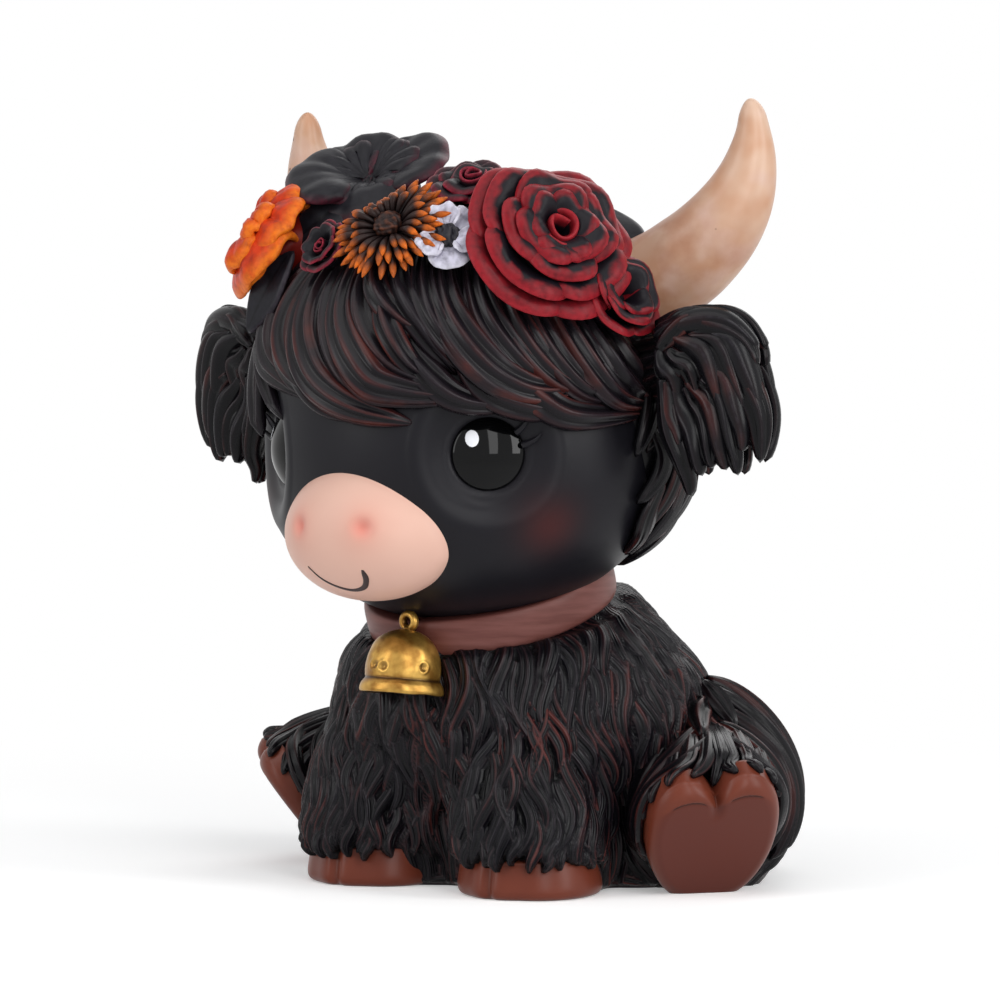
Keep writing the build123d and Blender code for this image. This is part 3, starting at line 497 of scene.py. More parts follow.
def make_horn_paint():
    """Mottled cream paint that turns darker and rust-brown toward the root. A few casting pinholes, at most
    one in each cell of PINHOLE_CELL mm, are dark dots of painted shade with no holes modelled."""
    paint = new_paint("mottled_cream_horn_paint", 0.34, 0.35)
    tree = paint[1]
    root = mark(tree, "root")
    base = mixed(tree, patches(tree, 9.0, 2.0, (0.35, 0), (0.65, 1)), "#cfae97", "#bf8f70")
    base = mixed(tree, times(tree, root, 0.5), base, "#a06e52")
    rose_tint = patches(tree, 8.0, 2.0, (0.50, 0), (0.66, 1), (1.1, 0.9, 1))
    base = mixed(tree, times(tree, rose_tint, 0.5), base, "#c9a79a")
    base = mixed(tree, times(tree, patches(tree, 6.5, 4.0, (0.42, 0), (0.68, 1)), root), base, "#9c6242")
    place = add_node(tree, "ShaderNodeTexCoord").outputs["Object"]
    dots = add_node(tree, "ShaderNodeTexVoronoi", None, Vector=place, Scale=1 / (PINHOLE_CELL * MM)).outputs
    # Painted shade: the pinholes are only dark dots, the surface has no holes.
    holes = steps(tree, dots["Distance"], (0.045, 1), (0.065, 0))
    rare = steps(tree, dots["Color"], (0.62, 0), (0.64, 1))
    colour = mixed(tree, times(tree, holes, rare), base, "#6b4a33")
    return finished(paint, colour, blotches(tree, 1.6), 0.03, 0.3)


def make_hoof_paint():
    """Satin brown paint, a little redder where it is thin, with painted shade on soles and in creases."""
    paint = new_paint("satin_brown_hoof_paint", 0.36, 0.22)
    tree = paint[1]
    walls = mixed(tree, blotches(tree, 8.0, 2.0), "#642e20", "#6e3525")
    # Painted shade: the rear sole's flat face, where the sole mark is 1, is darker than the walls.
    base = mixed(tree, mark(tree, "sole"), walls, "#5c291e")
    # Painted shade: the crease mark darkens the grooves and the front cleft.
    colour = mixed(tree, mark(tree, "crease"), base, "#2c1510")
    return finished(paint, colour, blotches(tree, 1.1), 0.03, 0.35)


def make_collar_paint():
    """Mauve-brown paint brushed along the band in streaks; painted shade darkens its top and bottom edges."""
    paint = new_paint("streaky_brown_collar_paint", 0.45, 0.25)
    tree = paint[1]
    streaks = blotches(tree, 5.0, 4.0, (0.35, 0.35, 3.0))
    base = mixed(tree, steps(tree, streaks, (0.35, 0), (0.65, 1)), "#613630", "#784b45")
    # Painted shade: the edge mark darkens the band's top and bottom faces beside the head and hair.
    return finished(paint, mixed(tree, mark(tree, "edge"), base, "#4f2a26"), streaks, 0.06, 0.4)


def make_bell_paint():
    """Antique gold paint: mica gold rubbed over a dark brown wash that stays in the hollows."""
    paint = new_paint("antique_gold_paint", 0.34, metallic=0.75)
    tree = paint[1]
    gold = mixed(tree, patches(tree, 3.2, 4.0, (0.36, 0), (0.62, 1)), "#8d6326", "#c39a4c")
    return finished(paint, mixed(tree, mark(tree, "wash"), gold, "#2e1a0a"), blotches(tree, 1.0), 0.06, 0.4)


def petal_paint(name, hollow, body, rim, roughness=0.40):
    """Brushed petal paint: a dark wash left in the hollows, the body colour over it and a lighter rim."""
    paint = new_paint(name, roughness, 0.14)
    tree = paint[1]
    worn = steps(tree, mark(tree, "cover"), (0.18, 0), (0.62, 1))
    rough_cover = times(tree, worn, patches(tree, 1.7, 4.0, (0.30, 0), (0.62, 1)))
    covered = mixed(tree, mixed(tree, 0.65, worn, rough_cover), hollow, body)
    edge = times(tree, mark(tree, "rim"), patches(tree, 1.1, 3.0, (0.25, 0.3), (0.6, 1.0)))
    return finished(paint, mixed(tree, edge, covered, rim), blotches(tree, 0.9, 4.0), 0.08, 0.5)


FACE = make_face_paint()
EYE_GLASS = make_eye_glass()
GLINT = make_plain_paint("white_enamel_dot", "#f6f7fb", "#eef0f6", 0.25)
SMILE_PAINT = make_plain_paint("dark_brown_line_paint", "#33201f", "#291819", 0.4, 1.5)
MUZZLE_PAINT = make_muzzle_paint()
HORN = make_horn_paint()
HOOF = make_hoof_paint()
COLLAR = make_collar_paint()
BELL = make_bell_paint()
ROSE_RED = petal_paint("black_washed_red_petal_paint", "#120f15", "#7a1820", "#962029")
ROSE_DARK = petal_paint("black_washed_dark_petal_paint", "#131116", "#2c161d", "#8c2033")
PETAL_BLACK = petal_paint("black_petal_paint", "#0f0e13", "#1c1b20", "#4a1a27")
PETAL_ORANGE = petal_paint("orange_petal_paint", "#6a130c", "#cb3a14", "#e8781f")
GERBERA_PAINT = petal_paint("black_orange_ray_paint", "#120e10", "#38241f", "#e2701f")
PETAL_WHITE = petal_paint("cool_white_petal_paint", "#55515f", "#d0cede", "#e4e2ee", 0.5)
KNOB = petal_paint("grey_black_knob_paint", "#121116", "#2a2930", "#6c6660")
LEAF = petal_paint("black_leaf_paint", "#0c0c10", "#1b1a20", "#3a343c")


# Head

# Middle of the head, its pitch, the radius of its girth, then height and cap radius above and below that
HEAD = np.array([0.0, -15.0, 83.0])
HEAD_AXES = pitched(15.0)
GIRTH, RISE, CROWN, DROP, JAW = 40.3, 48.0, 36.0, 32.0, 46.0
# Middle and pitch of the plane where head and body meet under the collar
NECK = np.array([0.0, -9.4, 55.3])
NECK_AXES = pitched(18.0)
CHEEK, CHEEK_SPREAD = np.array([32.4, -34.4, 70.3]), 5.2


def egg_reach(slope, proud):
    """Length of a ray at `slope` above the girth to the egg grown by `proud`, and the normal there across
    and up. The egg's half outline is an arc from the girth that runs on into a round cap."""
    up = slope >= 0
    girth = GIRTH + proud
    height = np.where(up, RISE, DROP) + proud
    cap = np.where(up, CROWN, JAW) + proud
    side = (girth**2 + height**2 - 2 * height * cap) / (2 * (girth - cap))
    meet = np.arctan2((height - cap) * np.sign(side - cap), np.abs(girth - side))
    turn = np.arctan2(side * np.sin(meet), girth - side + side * np.cos(meet))
    steep = np.abs(slope)
    in_cap = steep > turn
    middle_x = np.where(in_cap, 0, girth - side)
    middle_y = np.where(in_cap, height - cap, 0)
    radius = np.where(in_cap, cap, side)
    along = np.cos(steep) * middle_x + np.sin(steep) * middle_y
    reach = along + np.sqrt(np.maximum(along**2 - middle_x**2 - middle_y**2 + radius**2, 0))
    across = (reach * np.cos(steep) - middle_x) / radius
    rise = (reach * np.sin(steep) - middle_y) / radius * np.where(up, 1, -1)
    return reach, across, rise


def on_head(directions, proud):
    """Point and outward normal where rays from the head's middle leave the head grown by `proud`."""
    local = unit(directions) @ HEAD_AXES.T
    flat = np.hypot(local[..., 0], local[..., 1])
    reach, across, rise = egg_reach(np.arctan2(local[..., 2], flat), proud)
    level = local[..., :2] / np.maximum(flat, 1e-9)[..., None]
    normal = np.concatenate([level * across[..., None], rise[..., None]], -1) @ HEAD_AXES
    return HEAD + unit(directions) * reach[..., None], unit(normal)


def ray(turn, climb):
    """Direction `turn` degrees from straight ahead toward the left and `climb` degrees up."""
    t, c = np.radians(turn), np.radians(climb)
    return np.stack([np.sin(t) * np.cos(c), -np.cos(t) * np.cos(c), np.sin(c) + 0 * t], -1)


def head_grid(turns, slopes):
    """Grid on the head, and its normals, at turns and slopes in radians about the head's own axes."""
    flat = polar(np.cos(slopes)[:, None], turns - math.pi / 2, np.sin(slopes)[:, None])
    return on_head(flat @ HEAD_AXES, 0.0)


def spot_on_head(turn, climb, proud, spin=0.0, nod=0.0, lift=0.0):
    """Origin and axes on the head: east, up the head and outward, nodded, lifted and then spun."""
    origin, out = on_head(ray(turn, climb), proud)
    north = unit(np.cross(out, level_axes(turn)[0]))
    east = np.cross(north, out)
    north, out = swung(north, out, nod)
    east, north = swung(east, north, spin)
    return origin + out * lift, np.array([east, north, out])


EYE_SPOT, EYE_AXES = spot_on_head(41.4, 0.9, 0.0)
EYE_SUNK, EYE_RADIUS, EYE_DOME = 3.7, 6.8, 2.2
EYE_SPOT = EYE_SPOT - EYE_AXES[2] * EYE_SUNK
# The dish round an eye: radius of the ball that presses it in, how far it goes under the lens, soft edge
DISH_BALL, DISH_DEPTH, DISH_SOFT = 26.0, 1.2, 1.6


def make_head():
    """The egg on a grid of turn and slope, flat where the neck plane cuts it. Round each eye a dish is
    pressed in down to the lens, with a soft lid rim and a crease below it."""
    grid, normal = head_grid(crowded(400, 0.0, 0.45), np.radians(np.linspace(-88, 88, 236)))
    for side in (1, -1):
        flip = np.array([side, 1, 1])
        local = ((grid * flip) - EYE_SPOT) @ EYE_AXES.T
        away = np.hypot(local[..., 0], local[..., 1])
        facing = ((normal * flip) @ EYE_AXES[2]) > 0.2
        dish = DISH_BALL - DISH_DEPTH - np.sqrt(np.maximum(DISH_BALL**2 - away**2, 0))
        sunk = np.where((away < DISH_BALL * 0.95) & facing, dish - local[..., 2], 9.0)
        blend = np.clip(0.5 - 0.25 * sunk / DISH_SOFT, 0, 1)
        drop = np.where(facing & (away < 16), sunk * blend - DISH_SOFT * blend * (1 - blend), 0)
        rim = 0.30 * bell_curve(away - EYE_RADIUS - 0.8, 0.5)
        below = bell_curve(local[..., 0] + 1.0, 6.0) * (local[..., 1] < 0)
        fold = -0.32 * bell_curve(np.hypot(local[..., 0] * 0.92, local[..., 1]) - 9.4, 0.8) * below
        shift = drop + np.where(facing & (away < 15), rim + fold, 0)
        grid = grid + (shift[..., None] * EYE_AXES[2]) * flip
    height = (grid - NECK) @ NECK_AXES[2]
    grid = grid - np.minimum(height, 0)[..., None] * NECK_AXES[2]
    cheeks = (length(grid - CHEEK * [side, 1, 1])[..., 0] for side in (1, -1))
    return tube_shell(grid, {"blush": 0.55 * sum(bell_curve(away, CHEEK_SPREAD) for away in cheeks)})


make_piece("face", make_head(), FACE, "face_black", "head")


def make_eye():
    """Lens on polar rings: a flat back, a short wall and a dome, z = dome(1 - r^2) with a rounded rim."""
    cap = np.linspace(0.955, 0.02, 26)
    share = np.concatenate([[0.05, 0.5, 0.96, 1.0, 1.0, 0.985], cap])
    z = np.concatenate([[-1.2, -1.2, -1.2, -1.1, -0.15, 0.02], EYE_DOME * (1 - cap**2) + 0.05])
    grid = polar(EYE_RADIUS * share[:, None], around(72), z[:, None])
    return placed(tube_shell(grid), EYE_SPOT, EYE_AXES)


def make_glint(x, y):
    """Oval dot of enamel on the dome at a flat place, 0.11 mm proud in its middle."""
    share, angle = np.linspace(0.03, 1, 10)[:, None], around(40)
    px, py = x + 1.25 * share * np.cos(angle), y + 1.55 * share * np.sin(angle)
    dome = EYE_DOME * (1 - (px**2 + py**2) / EYE_RADIUS**2) + 0.05
    top = np.stack([px, py, dome + 0.10 * dome_of(share) + 0.01], -1)
    low = np.stack([px, py, dome - 0.3], -1)[::-1]
    return placed(tube_shell(np.concatenate([top, low])), EYE_SPOT, EYE_AXES)


def make_lashes():
    """Two lashes as tapered tubes on quadratic curves that flick up from the eye's outer rim."""
    strokes = []
    t = np.linspace(0, 1, 24)
    for degrees, reach in ((15.0, 4.6), (38.0, 4.6)):
        out, tangent = swung(np.array([1.0, 0, 0]), np.array([0, 1.0, 0]), degrees)
        start = out * (EYE_RADIUS - 0.4) + UP * 0.5
        middle = start + out * reach * 0.6 + UP * 0.7
        end = start + out * reach * 0.85 + tangent * 1.5 + UP * 2.0
        strokes.append(taper_tube(bezier((start, middle, end), t), 0.58 * (1 - t**1.6) + 0.08, 12))
    return placed(joined(strokes), EYE_SPOT, EYE_AXES)


def path_frames(path, upright=(0, 0, 1)):
    """Side and lift at each point of a path, the lift kept near `upright`."""
    heading = unit(np.gradient(path, axis=0))
    side = unit(np.cross(heading, np.array(upright, float)))
    return side, np.cross(side, heading)


def taper_tube(path, radius, count, upright=(0, 0, 1), marks=None):
    """Round tube along a path with a radius at each point, closed by fans."""
    grid = rings(path, *path_frames(path, upright), np.asarray(radius)[:, None], around(count))
    spread = {k: np.broadcast_to(v[:, None], grid.shape[:2]) for k, v in (marks or {}).items()}
    return tube_shell(grid, spread)


make_pair("eye_glass", make_eye(), EYE_GLASS, "gloss_black", "eye")
make_piece("eye_dot_left", make_glint(-3.1, 3.0), GLINT, None)
make_piece("eye_dot_right", reflected(make_glint(3.1, 3.0)), GLINT, None)
make_pair("lashes", make_lashes(), FACE, "face_black", "eyelashes")


# Muzzle

# Middle of the muzzle, then its largest radius, half its width and the radius of its end caps
MUZZLE = np.array([0.0, -46.3, 69.8])
MUZZLE_GIRTH, MUZZLE_HALF, MUZZLE_CAP = 13.8, 18.0, 10.0
# The left nostril and the knots of the smile, all as x and z
NOSTRIL = (7.4, 70.4)
SMILE = np.array([
    (-6.6, 62.8), (-4.0, 60.4), (-1.0, 59.0), (2.0, 58.5), (4.6, 59.2), (6.0, 60.8), (6.2, 62.5),
])


def muzzle_radius(x):
    """Radius of the muzzle at a distance x from the middle plane: a side arc that runs on into a cap."""
    rest = MUZZLE_HALF - MUZZLE_CAP
    square = MUZZLE_GIRTH**2 + MUZZLE_HALF**2 - 2 * MUZZLE_HALF * MUZZLE_CAP
    side = square / (2 * (MUZZLE_GIRTH - MUZZLE_CAP))
    meet = math.atan2(rest * math.copysign(1, side - MUZZLE_CAP), abs(MUZZLE_GIRTH - side))
    x = np.abs(x)
    body = MUZZLE_GIRTH - side + np.sqrt(np.maximum(side**2 - x**2, 0))
    cap = np.sqrt(np.maximum(MUZZLE_CAP**2 - (x - rest) ** 2, 0))
    return np.where(x > side * math.sin(meet), cap, body)


def muzzle_spread(z):
    """The muzzle is a little wider low down than high up."""
    return 1 - 0.13 * (z - MUZZLE[2]) / MUZZLE_GIRTH


def on_muzzle(x, z):
    """Front point of the muzzle at x and z."""
    radius = muzzle_radius(x / muzzle_spread(z))
    y = MUZZLE[1] - np.sqrt(np.maximum(radius**2 - (z - MUZZLE[2]) ** 2, 0))
    return np.stack([x, y, z], -1)


def make_muzzle():
    """Rings about X, closer at the ends; two soft nostril dimples with a low swelling round each."""
    x = MUZZLE_HALF * np.sin(np.linspace(-0.5, 0.5, 160) * math.pi * 0.985)[:, None]
    grid = MUZZLE + polar(muzzle_radius(x), crowded(240, math.pi, 0.3), x)[..., [2, 0, 1]]
    grid[..., 0] *= muzzle_spread(grid[..., 2])
    normal = grid_normals(grid, True)
    blush = 0
    for side in (1, -1):
        away = length(grid - on_muzzle(np.array(side * NOSTRIL[0]), np.array(NOSTRIL[1])))[..., 0]
        grid = grid + normal * (0.25 * bell_curve(away, 4.2) - 0.95 * bell_curve(away, 1.7))[..., None]
        blush = blush + 0.75 * bell_curve(away, 2.1) + 0.28 * bell_curve(away, 4.6)
    return tube_shell(grid, {"blush": np.clip(blush, 0, 1)})


def make_smile():
    """Painted line on the muzzle: a strip along a curve of x and z, thin at one end and thick at its hook,
    0.2 mm proud with an oval section."""
    t, q = np.linspace(0, 1, 80), np.linspace(-1, 1, 9)
    flat = through(SMILE, t)
    width = smooth_table([0, 0.15, 0.5, 0.75, 0.92, 1], [0.06, 0.15, 0.24, 0.42, 0.48, 0.2], t)
    tangent = unit(np.gradient(flat, axis=0))
    across = np.stack([-tangent[:, 1], tangent[:, 0]], -1)
    place = flat[:, None] + across[:, None] * (width[:, None] * q)[..., None]
    middle = on_muzzle(place[..., 0], place[..., 1])
    normal = unit(middle * [0.45, 1, 1] - MUZZLE)
    crown = dome_of(q) * (np.minimum(t, 1 - t) > 0.001)[:, None]
    return sheet_shell(middle + normal * 0.06, 0.14 * crown, 0.5 * crown, None, normal)


make_piece("pink_muzzle", make_muzzle(), MUZZLE_PAINT, "muzzle_pink", "muzzle")
make_piece("smile_line", make_smile(), SMILE_PAINT, None)


# Horns

# Control points of the left horn's middle line, and the radius of its root
HORN_LINE = ((29.347, -6.028, 112.635), (55.5, 3.686, 125.15), (53.3, 1.0, 148.39))
HORN_ROOT = 9.49


def make_horn():
    """Tube along the quadratic curve of the left horn from just inside the head. Its radius falls by a
    table and closes as a half ellipse at the tip."""
    closing = 0.95 + 0.082 * np.sin(np.linspace(0, 1, 26)[1:] * math.pi / 2)
    t = np.concatenate([np.linspace(-0.12, 0.95, 110), closing])
    radius = smooth_table([-0.2, 0, 0.28, 0.58, 0.8, 0.95, 1.04], [1.02, 1, 0.92, 0.72, 0.48, 0.29, 0.22], t)
    radius = HORN_ROOT * radius * np.sqrt(np.maximum(1 - (np.maximum(t - 0.95, 0) / 0.0825) ** 2, 0.0004))
    steady = (t + 0.12) / 1.15
    radius = radius * (1 + 0.010 * np.sin(steady * 40) * (1 - ease(steady, 0.1, 0.5)))
    return taper_tube(bezier(HORN_LINE, t), radius, 96, (0, -1, 0.2), {"root": 1 - ease(steady, 0.05, 0.75)})


make_pair("cream_horn", make_horn(), HORN, "horn_cream", "horn")


# Collar, bell and loop

# Radius of the band's middle, half its thickness and half its height
COLLAR_RADIUS, COLLAR_THICK, COLLAR_HALF = 22.3, 2.1, 3.8


def make_collar():
    """Ring round the neck plane with a rounded rectangle for its section."""
    angle, s = around(220), around(40)[:, None]
    flat = np.sign(np.cos(s)) * np.abs(np.cos(s)) ** 0.45
    tall = np.sign(np.sin(s)) * np.abs(np.sin(s)) ** 0.6
    radius = COLLAR_RADIUS + COLLAR_THICK * flat + 0.12 * np.sin(angle * 3 + tall)
    height = COLLAR_HALF * tall + 0.12 * np.sin(angle * 5 + 1.0)
    # edge marks the top and bottom faces, which the collar paint darkens as painted shade.
    edge = ease(np.abs(tall), 0.86, 1.0) * np.ones(220)
    return ring_shell(NECK + polar(radius, angle, height) @ NECK_AXES, {"edge": edge})


def ring_shell(grid, marks):
    """Closed shell of a grid that wraps both ways."""
    rows, columns = grid.shape[:2]
    triangles = grid_triangles(rows + 1, columns, True) % (rows * columns)
    points = grid.reshape(-1, 3)
    return {
        "points": points, "triangles": turned_out(points, triangles),
        "marks": {k: v.ravel() for k, v in marks.items()},
    }


make_piece("collar_band", make_collar(), COLLAR, "collar_brown", "collar")


BELL_SPOT = np.array([0.0, -37.4, 37.9])
BELL_AXES = pitched(-7.0)
# Outline of the bell from inside its mouth up to its crown: radius and height
BELL_PROFILE = np.array([
    (0.1, 2.4), (3.0, 2.3), (5.6, 1.6), (6.9, 0.5), (7.4, 0.05), (7.8, 0.15), (8.0, 0.6), (7.95, 1.2),
    (7.75, 1.8), (7.45, 2.3), (7.2, 2.7), (7.08, 2.95), (7.15, 3.4), (7.2, 4.6), (7.05, 6.0), (6.7, 7.6),
    (6.0, 9.2), (4.9, 10.6), (3.4, 11.6), (1.8, 12.1), (0.1, 12.3),
])
# Degrees round the bell, and height, of each dimple
BELL_DIMPLES = ((-102, 5.2), (-84, 5.0), (-20, 5.2), (150, 5.1), (60, 5.1))


def make_bell():
    """A turned profile on polar rings: shallow hollow below, rolled lip, groove, waist and domed crown,
    with round dimples pressed into its side at turns and heights."""
    t = np.linspace(0, 1, 150)
    outline = through(BELL_PROFILE, t)
    grid = polar(outline[:, :1], around(160), outline[:, 1:])
    normal = grid_normals(grid, True)
    high = outline[:, 1]
    wash = 0.9 * bell_curve(high - 2.8, 0.35) * (t > 0.4) + 0.8 * (t < 0.25) + 0.25 * ease(high, 9, 12)
    wash = wash[:, None] * np.ones(160)
    for turn, z in BELL_DIMPLES:
        a = math.radians(turn)
        away = length(grid - np.array([7.0 * math.cos(a), 7.0 * math.sin(a), z]))[..., 0]
        grid = grid + normal * (0.18 * bell_curve(away - 1.0, 0.35) - 0.4 * bell_curve(away, 0.75))[..., None]
        wash = wash + 0.6 * bell_curve(away, 0.8)
    grid = grid + normal * (0.10 * waves(grid, 5.0, 11))[..., None]
    return placed(tube_shell(grid, {"wash": np.clip(wash, 0, 1)}), BELL_SPOT, BELL_AXES)


# Middle of the small ring, then points along its stem with their radii
LOOP_SPOT = np.array([0, -35.0, 51.6])
LOOP_STEM = np.array([[0, -35.2, 48.6], [0, -35.15, 49.4], [0, -35.1, 50.2], [0, -35.0, 50.8]])
STEM_RADII = np.array([1.5, 1.35, 1.0, 0.9])


def make_loop():
    """Small cast ring on a ball stem that joins the bell to the collar."""
    angle, s = around(48), around(20)[:, None]
    radius = 1.35 + 0.75 * np.cos(s)
    grid = polar(radius, angle, 0.85 * np.sin(s))[..., [0, 2, 1]] + LOOP_SPOT
    wash = 0.8 * ease(-np.cos(s), 0.2, 1.0) * np.ones(48)
    stem = taper_tube(LOOP_STEM, STEM_RADII, 24, (0, 1, 0), {"wash": np.array([0.7, 0.5, 0.4, 0.2])})
    return joined([ring_shell(grid, {"wash": wash}), stem])


make_piece("gold_bell", make_bell(), BELL, "antique_gold", "bell")
make_piece("gold_loop", make_loop(), BELL, "antique_gold", "bell_loop")


# Hair relief: locks laid over a surface like shingles

# Steps along a lock, places tried for roots, and mm from one fine hair to the next between locks
LOCK_STEPS, ROOT_TRIES, FINE_HAIR = 30, 7000, 0.9


def sample(field, i, j):
    """Bilinear value of a grid that wraps round, at row i and column j."""
    rows, columns = field.shape[:2]
    i = np.clip(i, 0, rows - 1.001)
    low = i.astype(int)
    fi = (i - low)[..., None]
    left = np.floor(j).astype(int)
    fj = (j - left)[..., None]
    left = left % columns
    right = (left + 1) % columns
    above = field[low, left] * (1 - fj) + field[low, right] * fj
    below = field[low + 1, left] * (1 - fj) + field[low + 1, right] * fj
    return above * (1 - fi) + below * fi


def scattered(grid, cover, spacing, seed):
    """Rows and columns of seeded places at least `spacing` mm apart where cover is over a half."""
    rng = np.random.default_rng(seed)
    across = length(np.roll(grid, -1, 1) - grid)[..., 0]
    down = length(np.gradient(grid, axis=0))[..., 0]
    weight = (across * down * (cover > 0.5)).ravel()
    tries = rng.choice(weight.size, ROOT_TRIES, p=weight / weight.sum())
    spots = grid.reshape(-1, 3)[tries]
    taken = np.zeros(len(tries), bool)
    for k in range(len(tries)):
        if not taken[:k].any() or (length(spots[:k][taken[:k]] - spots[k]) > spacing).all():
            taken[k] = True
    return np.stack(np.unravel_index(tries[taken], grid.shape[:2]), -1).astype(float)


def lay_hair(grid, normal, cover, flow, seed, spacing, long, half, rise, strands, wave, end=None):
    """Height and marks of locks on a wrapped grid. Each lock starts at a scattered root and runs along the
    flow with an S-shaped swing, narrowing to a pointed tip. Its height grows away from the root and falls
    off as 1 - q^2.6 across, where q runs from -1 to 1, with strands as a cosine of q. The highest lock
    shows. `end` gives the height above the floor where locks stop."""
    rng = np.random.default_rng(seed)
    roots = scattered(grid, cover, spacing, seed)
    count = len(roots)
    slope_j = (np.roll(grid, -1, 1) - np.roll(grid, 1, 1)) / 2
    slope_i = np.gradient(grid, axis=0)
    i, j = roots[:, 0].copy(), roots[:, 1].copy()
    start = sample(grid, i, j)
    reach = long * rng.uniform(0.75, 1.25, count)
    if end is not None:
        reach = np.minimum(reach, np.maximum(start[:, 2] - end - rng.uniform(-1.2, 1.6, count), 0.5) * 1.05)
    wide = half * rng.uniform(0.75, 1.25, count) * np.clip(reach / (0.5 * long), 0.3, 1)
    parts = LOCK_STEPS
    phase = 2 * math.pi * waves(start, 34.0, seed + 1) + rng.normal(0, 0.3, count)
    swing = np.radians(wave) * rng.uniform(0.7, 1.2, count)
    points = np.zeros((count, parts, 3))
    outs = np.zeros((count, parts, 3))
    for k in range(parts):
        here, out = sample(grid, i, j), unit(sample(normal, i, j))
        points[:, k], outs[:, k] = here, out
        heading = flow(here)
        heading = unit(heading - (heading * out).sum(-1, keepdims=True) * out)
        angle = swing * np.sin(2 * math.pi * 0.9 * k / parts + phase)
        heading = heading * np.cos(angle)[:, None] + np.cross(out, heading) * np.sin(angle)[:, None]
        sj, si = sample(slope_j, i, j), sample(slope_i, i, j)
        a, b = (heading * sj).sum(-1), (heading * si).sum(-1)
        jj, ij, ii = (sj**2).sum(-1), (sj * si).sum(-1), (si**2).sum(-1)
        step = reach / parts / np.maximum(jj * ii - ij**2, 1e-6)
        j = j + step * (a * ii - b * ij)
        i = np.clip(i + step * (b * jj - a * ij), 0, grid.shape[0] - 1.01)
    tangents = unit(np.gradient(points, axis=1))
    sides = unit(np.cross(tangents, outs))
    flat_points, flat_normals = grid.reshape(-1, 3), normal.reshape(-1, 3)
    height = np.zeros(len(flat_points))
    # crest: how high a point stands on its lock; low gets painted shade, high a painted highlight
    crest = np.full(len(flat_points), 0.12)
    tone = np.zeros(len(flat_points))
    across = (np.cumsum(length(np.roll(grid, -1, 1) - grid)[..., 0], axis=1) / FINE_HAIR).ravel()
    tones, lifts = rng.uniform(0, 1, count), rng.uniform(0, 0.35, count)
    for n in range(count):
        middle = points[n].mean(0)
        bound = length(points[n] - middle).max() + wide[n]
        offset = flat_points - middle
        facing = flat_normals @ unit(outs[n].mean(0)) > 0.15
        near = np.flatnonzero(((offset**2).sum(-1) < bound**2) & facing)
        if not len(near):
            continue
        gap = flat_points[near][:, None] - points[n][None]
        k = (gap**2).sum(-1).argmin(1)
        pick = gap[np.arange(len(near)), k]
        s = (k + (pick * tangents[n][k]).sum(-1) / (reach[n] / parts)) / (parts - 1)
        t = (pick * sides[n][k]).sum(-1)
        inside_s = np.clip(s, 0, 1)
        width = wide[n] * (inside_s + 0.15) ** 0.35 * np.maximum(1 - inside_s**2.4, 0) ** 0.75 + 1e-6
        q = t / width
        inside = (np.abs(q) < 1) & (s > 0) & (s < 1)
        q = np.clip(q, -1, 1)
        crown = 1 - np.abs(q) ** 2.6
        ridge = 0.5 + 0.5 * np.cos(math.pi * strands * q)
        body = rise * (0.35 + 0.65 * ease(s, 0.0, 0.6)) * (1 - 0.5 * ease(s, 0.7, 1.0))
        strand = 0.26 * rise * (ridge - 0.5) * (1 - q**2) * ease(s, 0, 0.2)
        top = (body + lifts[n] * ease(s, 0, 0.5)) * crown + strand
        shown = inside & (top > height[near])
        spots = near[shown]
        height[spots] = top[shown]
        crest[spots] = ((0.25 + 0.75 * ridge) * (0.25 + 0.75 * crown))[shown]
        tone[spots] = tones[n]
        across[spots] = (q * strands * 1.5)[shown]
    shape = grid.shape[:2]
    height = height.reshape(shape)
    height[1:-1] = (height[:-2] + 2 * height[1:-1] + height[2:]) / 4
    height = (np.roll(height, 1, 1) + 2 * height + np.roll(height, -1, 1)) / 4
    return height, {
        "crest": crest.reshape(shape), "tone": tone.reshape(shape), "across": across.reshape(shape)
    }


def longer(marks, rows):
    """The marks with plain rows added after their last one."""
    added = {"crest": 0.3, "tone": 0.0, "across": 0.0}
    return {k: np.concatenate([v, np.full((rows, v.shape[1]), added[k])]) for k, v in marks.items()}


def plain_hair(points, crest=0.3):
    """Marks of hair without locks, one value for all the points."""
    return {k: np.full(points.shape[:-1], v) for k, v in (("crest", crest), ("tone", 0.0), ("across", 0.0))}


